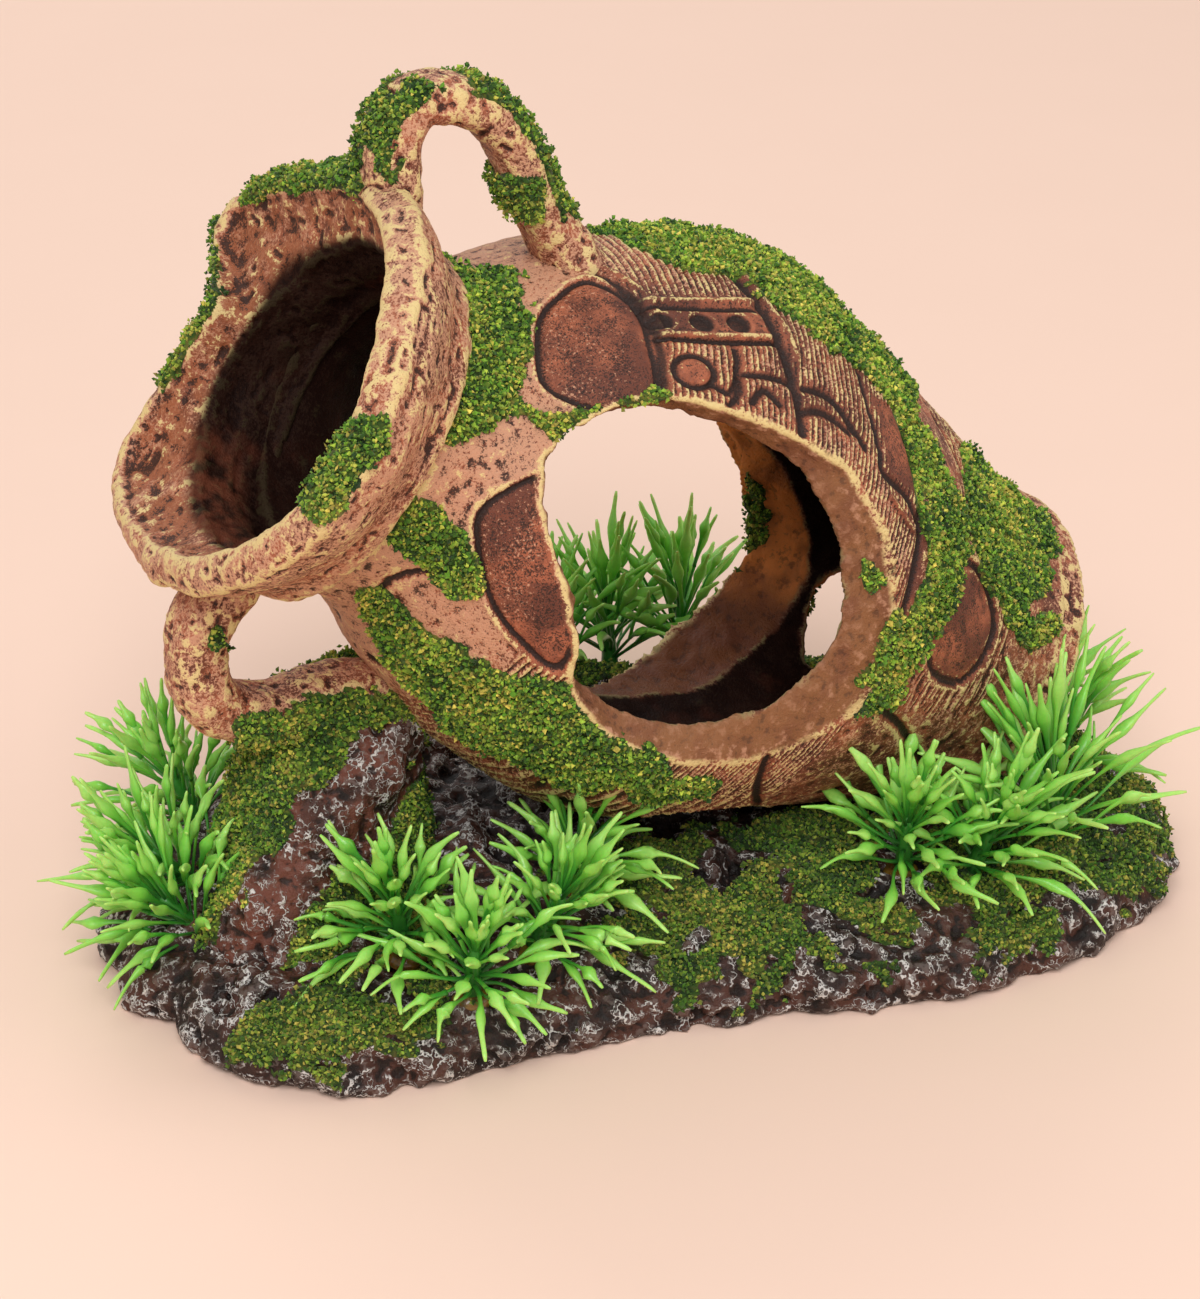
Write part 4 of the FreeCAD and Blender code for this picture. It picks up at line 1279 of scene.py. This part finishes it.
grassSet = {
    # each whorl: how many blades, how high, how far they open, and the scatter of that
    "whorls": [(10, 2.5, 74, 10), (10, 5.5, 57, 9), (9, 8.5, 38, 9), (8, 11.5, 17, 11)],
    "length": 23.5, "thin": 0.42, "swell": 1.4, "swellAt": 0.6,
    "forks": 0.4,       # share of blades that carry a second one
    "droop": 0.4,
    "root": (24, 80, 28), "middle": (70, 158, 50), "fresh": (138, 214, 80), "tip": (186, 236, 122),
}
sprigs = {  # heading and lean in degrees, how long its blades are, how far they open
    "left_1": (158, 44, 1.1, 0.9), "left_2": (160, 42, 1.05, 0.8), "left_3": (135, 30, 1.0, 0.9),
    "front_1": (215, 20, 0.95, 1.0), "front_2": (250, 25, 1.0, 1.0), "front_3": (300, 25, 1.0, 1.0),
    "front_4": (330, 20, 1.0, 1.0),
    "right_1": (240, 20, 1.05, 0.95), "right_2": (290, 22, 1.15, 1.0), "right_3": (110, 8, 1.5, 0.85),
    "right_4": (165, 14, 1.3, 0.95), "right_5": (170, 20, 1.05, 0.9),
    "rear_1": (110, 10, 1.25, 0.8), "rear_2": (80, 8, 1.25, 0.85), "rear_3": (60, 12, 1.2, 0.85),
}

moved = {"left_2": (1, 13), "right_4": (-8, 4), "right_5": (-5, -2)}  # stand this far off their dimple


def bladePaint():
    p = Paint("grassPlastic")
    at = p.sum("ADD", p.layer("rise"), p.sum("MULTIPLY", p.sum("SUBTRACT", p.grain(5, 2), 0.5), 0.25))
    shade = p.ramp(at, [(0.0, colour(*grassSet["root"])), (0.32, colour(*grassSet["middle"])),
                        (0.62, colour(*grassSet["fresh"])), (1.0, colour(*grassSet["tip"]))])
    shade = p.mix(p.span(p.grain(0.8, 2), 0.35, 0.7, 0, 0.12), shade, colour(*grassSet["middle"]))
    p.bump(p.grain(0.9, 2), 0.12, 0.5)
    return p.finish(shade, Roughness=p.span(p.grain(3, 2), 0.3, 0.7, 0.28, 0.42), Specular_IOR_Level=0.5,
                    Subsurface_Weight=0.25, Subsurface_Scale=0.002)


def bladeTube(spine, radii, flatWay, sides=8, flatness=0.6):
    # a closed tube along the spine; its section is an oval, flat towards flatWay
    rings = []
    for k, point in enumerate(spine):
        ahead = unit(spine[min(k + 1, len(spine) - 1)] - spine[max(k - 1, 0)])
        sideways = unit(np.cross(ahead, flatWay))
        facing = np.cross(sideways, ahead)
        for j in range(sides):
            t = 2 * math.pi * j / sides
            rings.append(point + radii[k] * (math.cos(t) * sideways + flatness * math.sin(t) * facing))
    n, rows = sides, len(spine)
    quads = [(r * n + j, r * n + (j + 1) % n, (r + 1) * n + (j + 1) % n, (r + 1) * n + j)
             for r in range(rows - 1) for j in range(n)]
    return np.array(rings), np.array(quads), [list(range(n))[::-1], [(rows - 1) * n + j for j in range(n)]]


def growSprig(name, heading, lean, longer, spread, rng, grassPlastic):
    low, high = (np.array(v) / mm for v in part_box("sprig_" + name))
    middle = (low + high) / 2
    h, t = math.radians(heading), math.radians(lean)
    way = np.array((math.cos(h) * math.sin(t), math.sin(h) * math.sin(t), math.cos(t)))
    root = np.array((middle[0], middle[1], 0)) - 12 * way * (1, 1, 0) + (0, 0, low[2] - 3)
    root[:2] += moved.get(name, (0, 0))
    sideA = unit(np.cross(way, (0.3, 0.2, 1.0)))
    sideB = np.cross(way, sideA)
    allPoints, allQuads, allCaps, rises, count = [], [], [], [], 0

    def add(spine, radii, rise, flatWay, sides, flatness):
        nonlocal count
        points, quads, caps = bladeTube(spine, radii, flatWay, sides, flatness)
        allPoints.append(points)
        allQuads.append(quads + count)
        allCaps.extend([[c + count for c in cap] for cap in caps])
        rises.append(np.repeat(rise, sides))
        count += len(points)

    stem = np.array([root + way * k for k in np.linspace(-1, 14, 8)])
    add(stem, np.array((2.1, 1.8, 1.6, 1.5, 1.4, 1.3, 1.2, 0.6)), np.linspace(0, 0.2, 8), sideA, 10, 1.0)
    steps = np.linspace(0, 1, 18)

    def blade(start, aim, length, flatWay, shadeStart):
        opening = math.acos(np.clip(aim @ way, -1, 1))
        bend = grassSet["droop"] * rng.uniform(-0.2, 1.2) * math.sin(opening) ** 2
        curl, kink = rng.uniform(-0.35, 0.35), rng.uniform(-0.05, 0.05)
        side = np.cross(aim, way)
        spine = []
        for s in steps:
            reach = aim * (s - 0.10 * bend * s ** 3) + way * 0.07 * math.sin(math.pi * s)
            reach = reach + side * (curl * s * s * 0.5 + kink * math.sin(7 * s))
            reach = reach - np.array((0, 0, 1)) * 0.42 * bend * s ** 2.4
            spine.append(start + length * reach)
        spine = np.array(spine)
        spine[:, 2] = np.maximum(spine[:, 2], 4 + 0.5 * steps)
        at = grassSet["swellAt"] + rng.uniform(-0.08, 0.06)
        swell = np.exp(-((steps - at) / np.where(steps < at, 0.11, 0.12)) ** 2)
        ends = np.interp(steps, (0, 0.1, 0.75, 1), (1.5, 1, 1.15, 1.0))
        fattest = grassSet["swell"] * rng.uniform(0.75, 1.1)
        radii = grassSet["thin"] * ends + (fattest - grassSet["thin"]) * swell
        radii[-1] *= 0.6
        shade = np.interp(steps, (0, 0.3, 0.6, 1), (shadeStart, 0.4, 0.78, 1.0)) + rng.uniform(-0.2, 0.08)
        add(spine, radii, np.clip(shade, 0, 1), flatWay, 8, 0.65)
        return spine

    for number, height, opened, scatter in grassSet["whorls"]:
        turnStart = rng.uniform(0, 2 * math.pi)
        for k in range(number):
            around = turnStart + 2 * math.pi * (k + rng.uniform(-0.3, 0.3)) / number
            opening = math.radians(opened + rng.uniform(-scatter, scatter)) * spread
            out = sideA * math.cos(around) + sideB * math.sin(around)
            start = root + way * (height + rng.uniform(-1.2, 1.2))
            length = longer * (grassSet["length"] - 0.4 * height) * rng.uniform(0.72, 1.12)
            aim = unit(way * math.cos(opening) + out * math.sin(opening))
            spine = blade(start, aim, length, out + 0.3 * way, 0.05)
            if rng.random() < grassSet["forks"]:
                sideways = 0.45 * rng.uniform(-1, 1) * np.cross(aim, way)
                aside = unit(aim + sideways + 0.4 * rng.uniform(0.2, 1) * way)
                blade(spine[6], aside, 0.62 * length, out + 0.3 * way, 0.35)
    points = np.concatenate(allPoints)
    mesh = bpy.data.meshes.new(name)
    mesh.from_pydata((points * mm).tolist(), [], np.concatenate(allQuads).tolist() + allCaps)
    mesh.update()
    addLayer(mesh, "rise", np.concatenate(rises))
    side, number = name.split("_")
    addPiece("grass" + side.capitalize() + number, mesh, grassPlastic, ["sprig_" + name])
    return root


glueSet = {"wide": 3.8, "tall": 2.2, "amber": (140, 104, 40), "deep": (84, 60, 22)}


def gluePaint():
    p = Paint("amberGlue")
    shade = p.mix(p.span(p.grain(3, 3), 0.35, 0.65), colour(*glueSet["amber"]), colour(*glueSet["deep"]))
    p.bump(p.grain(1.6, 2), 0.25, 0.5)
    return p.finish(shade, Roughness=p.span(p.grain(2, 2), 0.3, 0.7, 0.12, 0.28), Specular_IOR_Level=0.5,
                    Subsurface_Weight=0.4, Subsurface_Scale=0.004, Coat_Weight=0.4, Coat_Roughness=0.1)


def layGlue(side, roots, amberGlue):
    drops, faces, count = [], [], 0
    ball = bmesh.new()
    bmesh.ops.create_icosphere(ball, subdivisions=4, radius=1.0)
    unitBall = np.array([v.co for v in ball.verts])
    ballFaces = np.array([[v.index for v in f.verts] for f in ball.faces])
    ball.free()
    for root in roots:
        shape = unitBall * (glueSet["wide"], glueSet["wide"], glueSet["tall"])
        shape = shape * (1 + 0.18 * rough(shape + root, 5, 2, 301))[:, None]
        drops.append(shape + root - (0, 0, 1.2))
        faces.append(ballFaces + count)
        count += len(shape)
    mesh = meshOf("glue" + side.capitalize(), np.concatenate(drops), np.concatenate(faces))
    addPiece("glue" + side.capitalize(), mesh, amberGlue, ["glue_" + side])


grassPlastic, amberGlue = bladePaint(), gluePaint()
roots = {}
grassRandom = np.random.default_rng(401)
for name, settings in sprigs.items():
    root = growSprig(name, *settings, grassRandom, grassPlastic)
    roots.setdefault(name.split("_")[0], []).append(root)
for side, places in roots.items():
    layGlue(side, places, amberGlue)
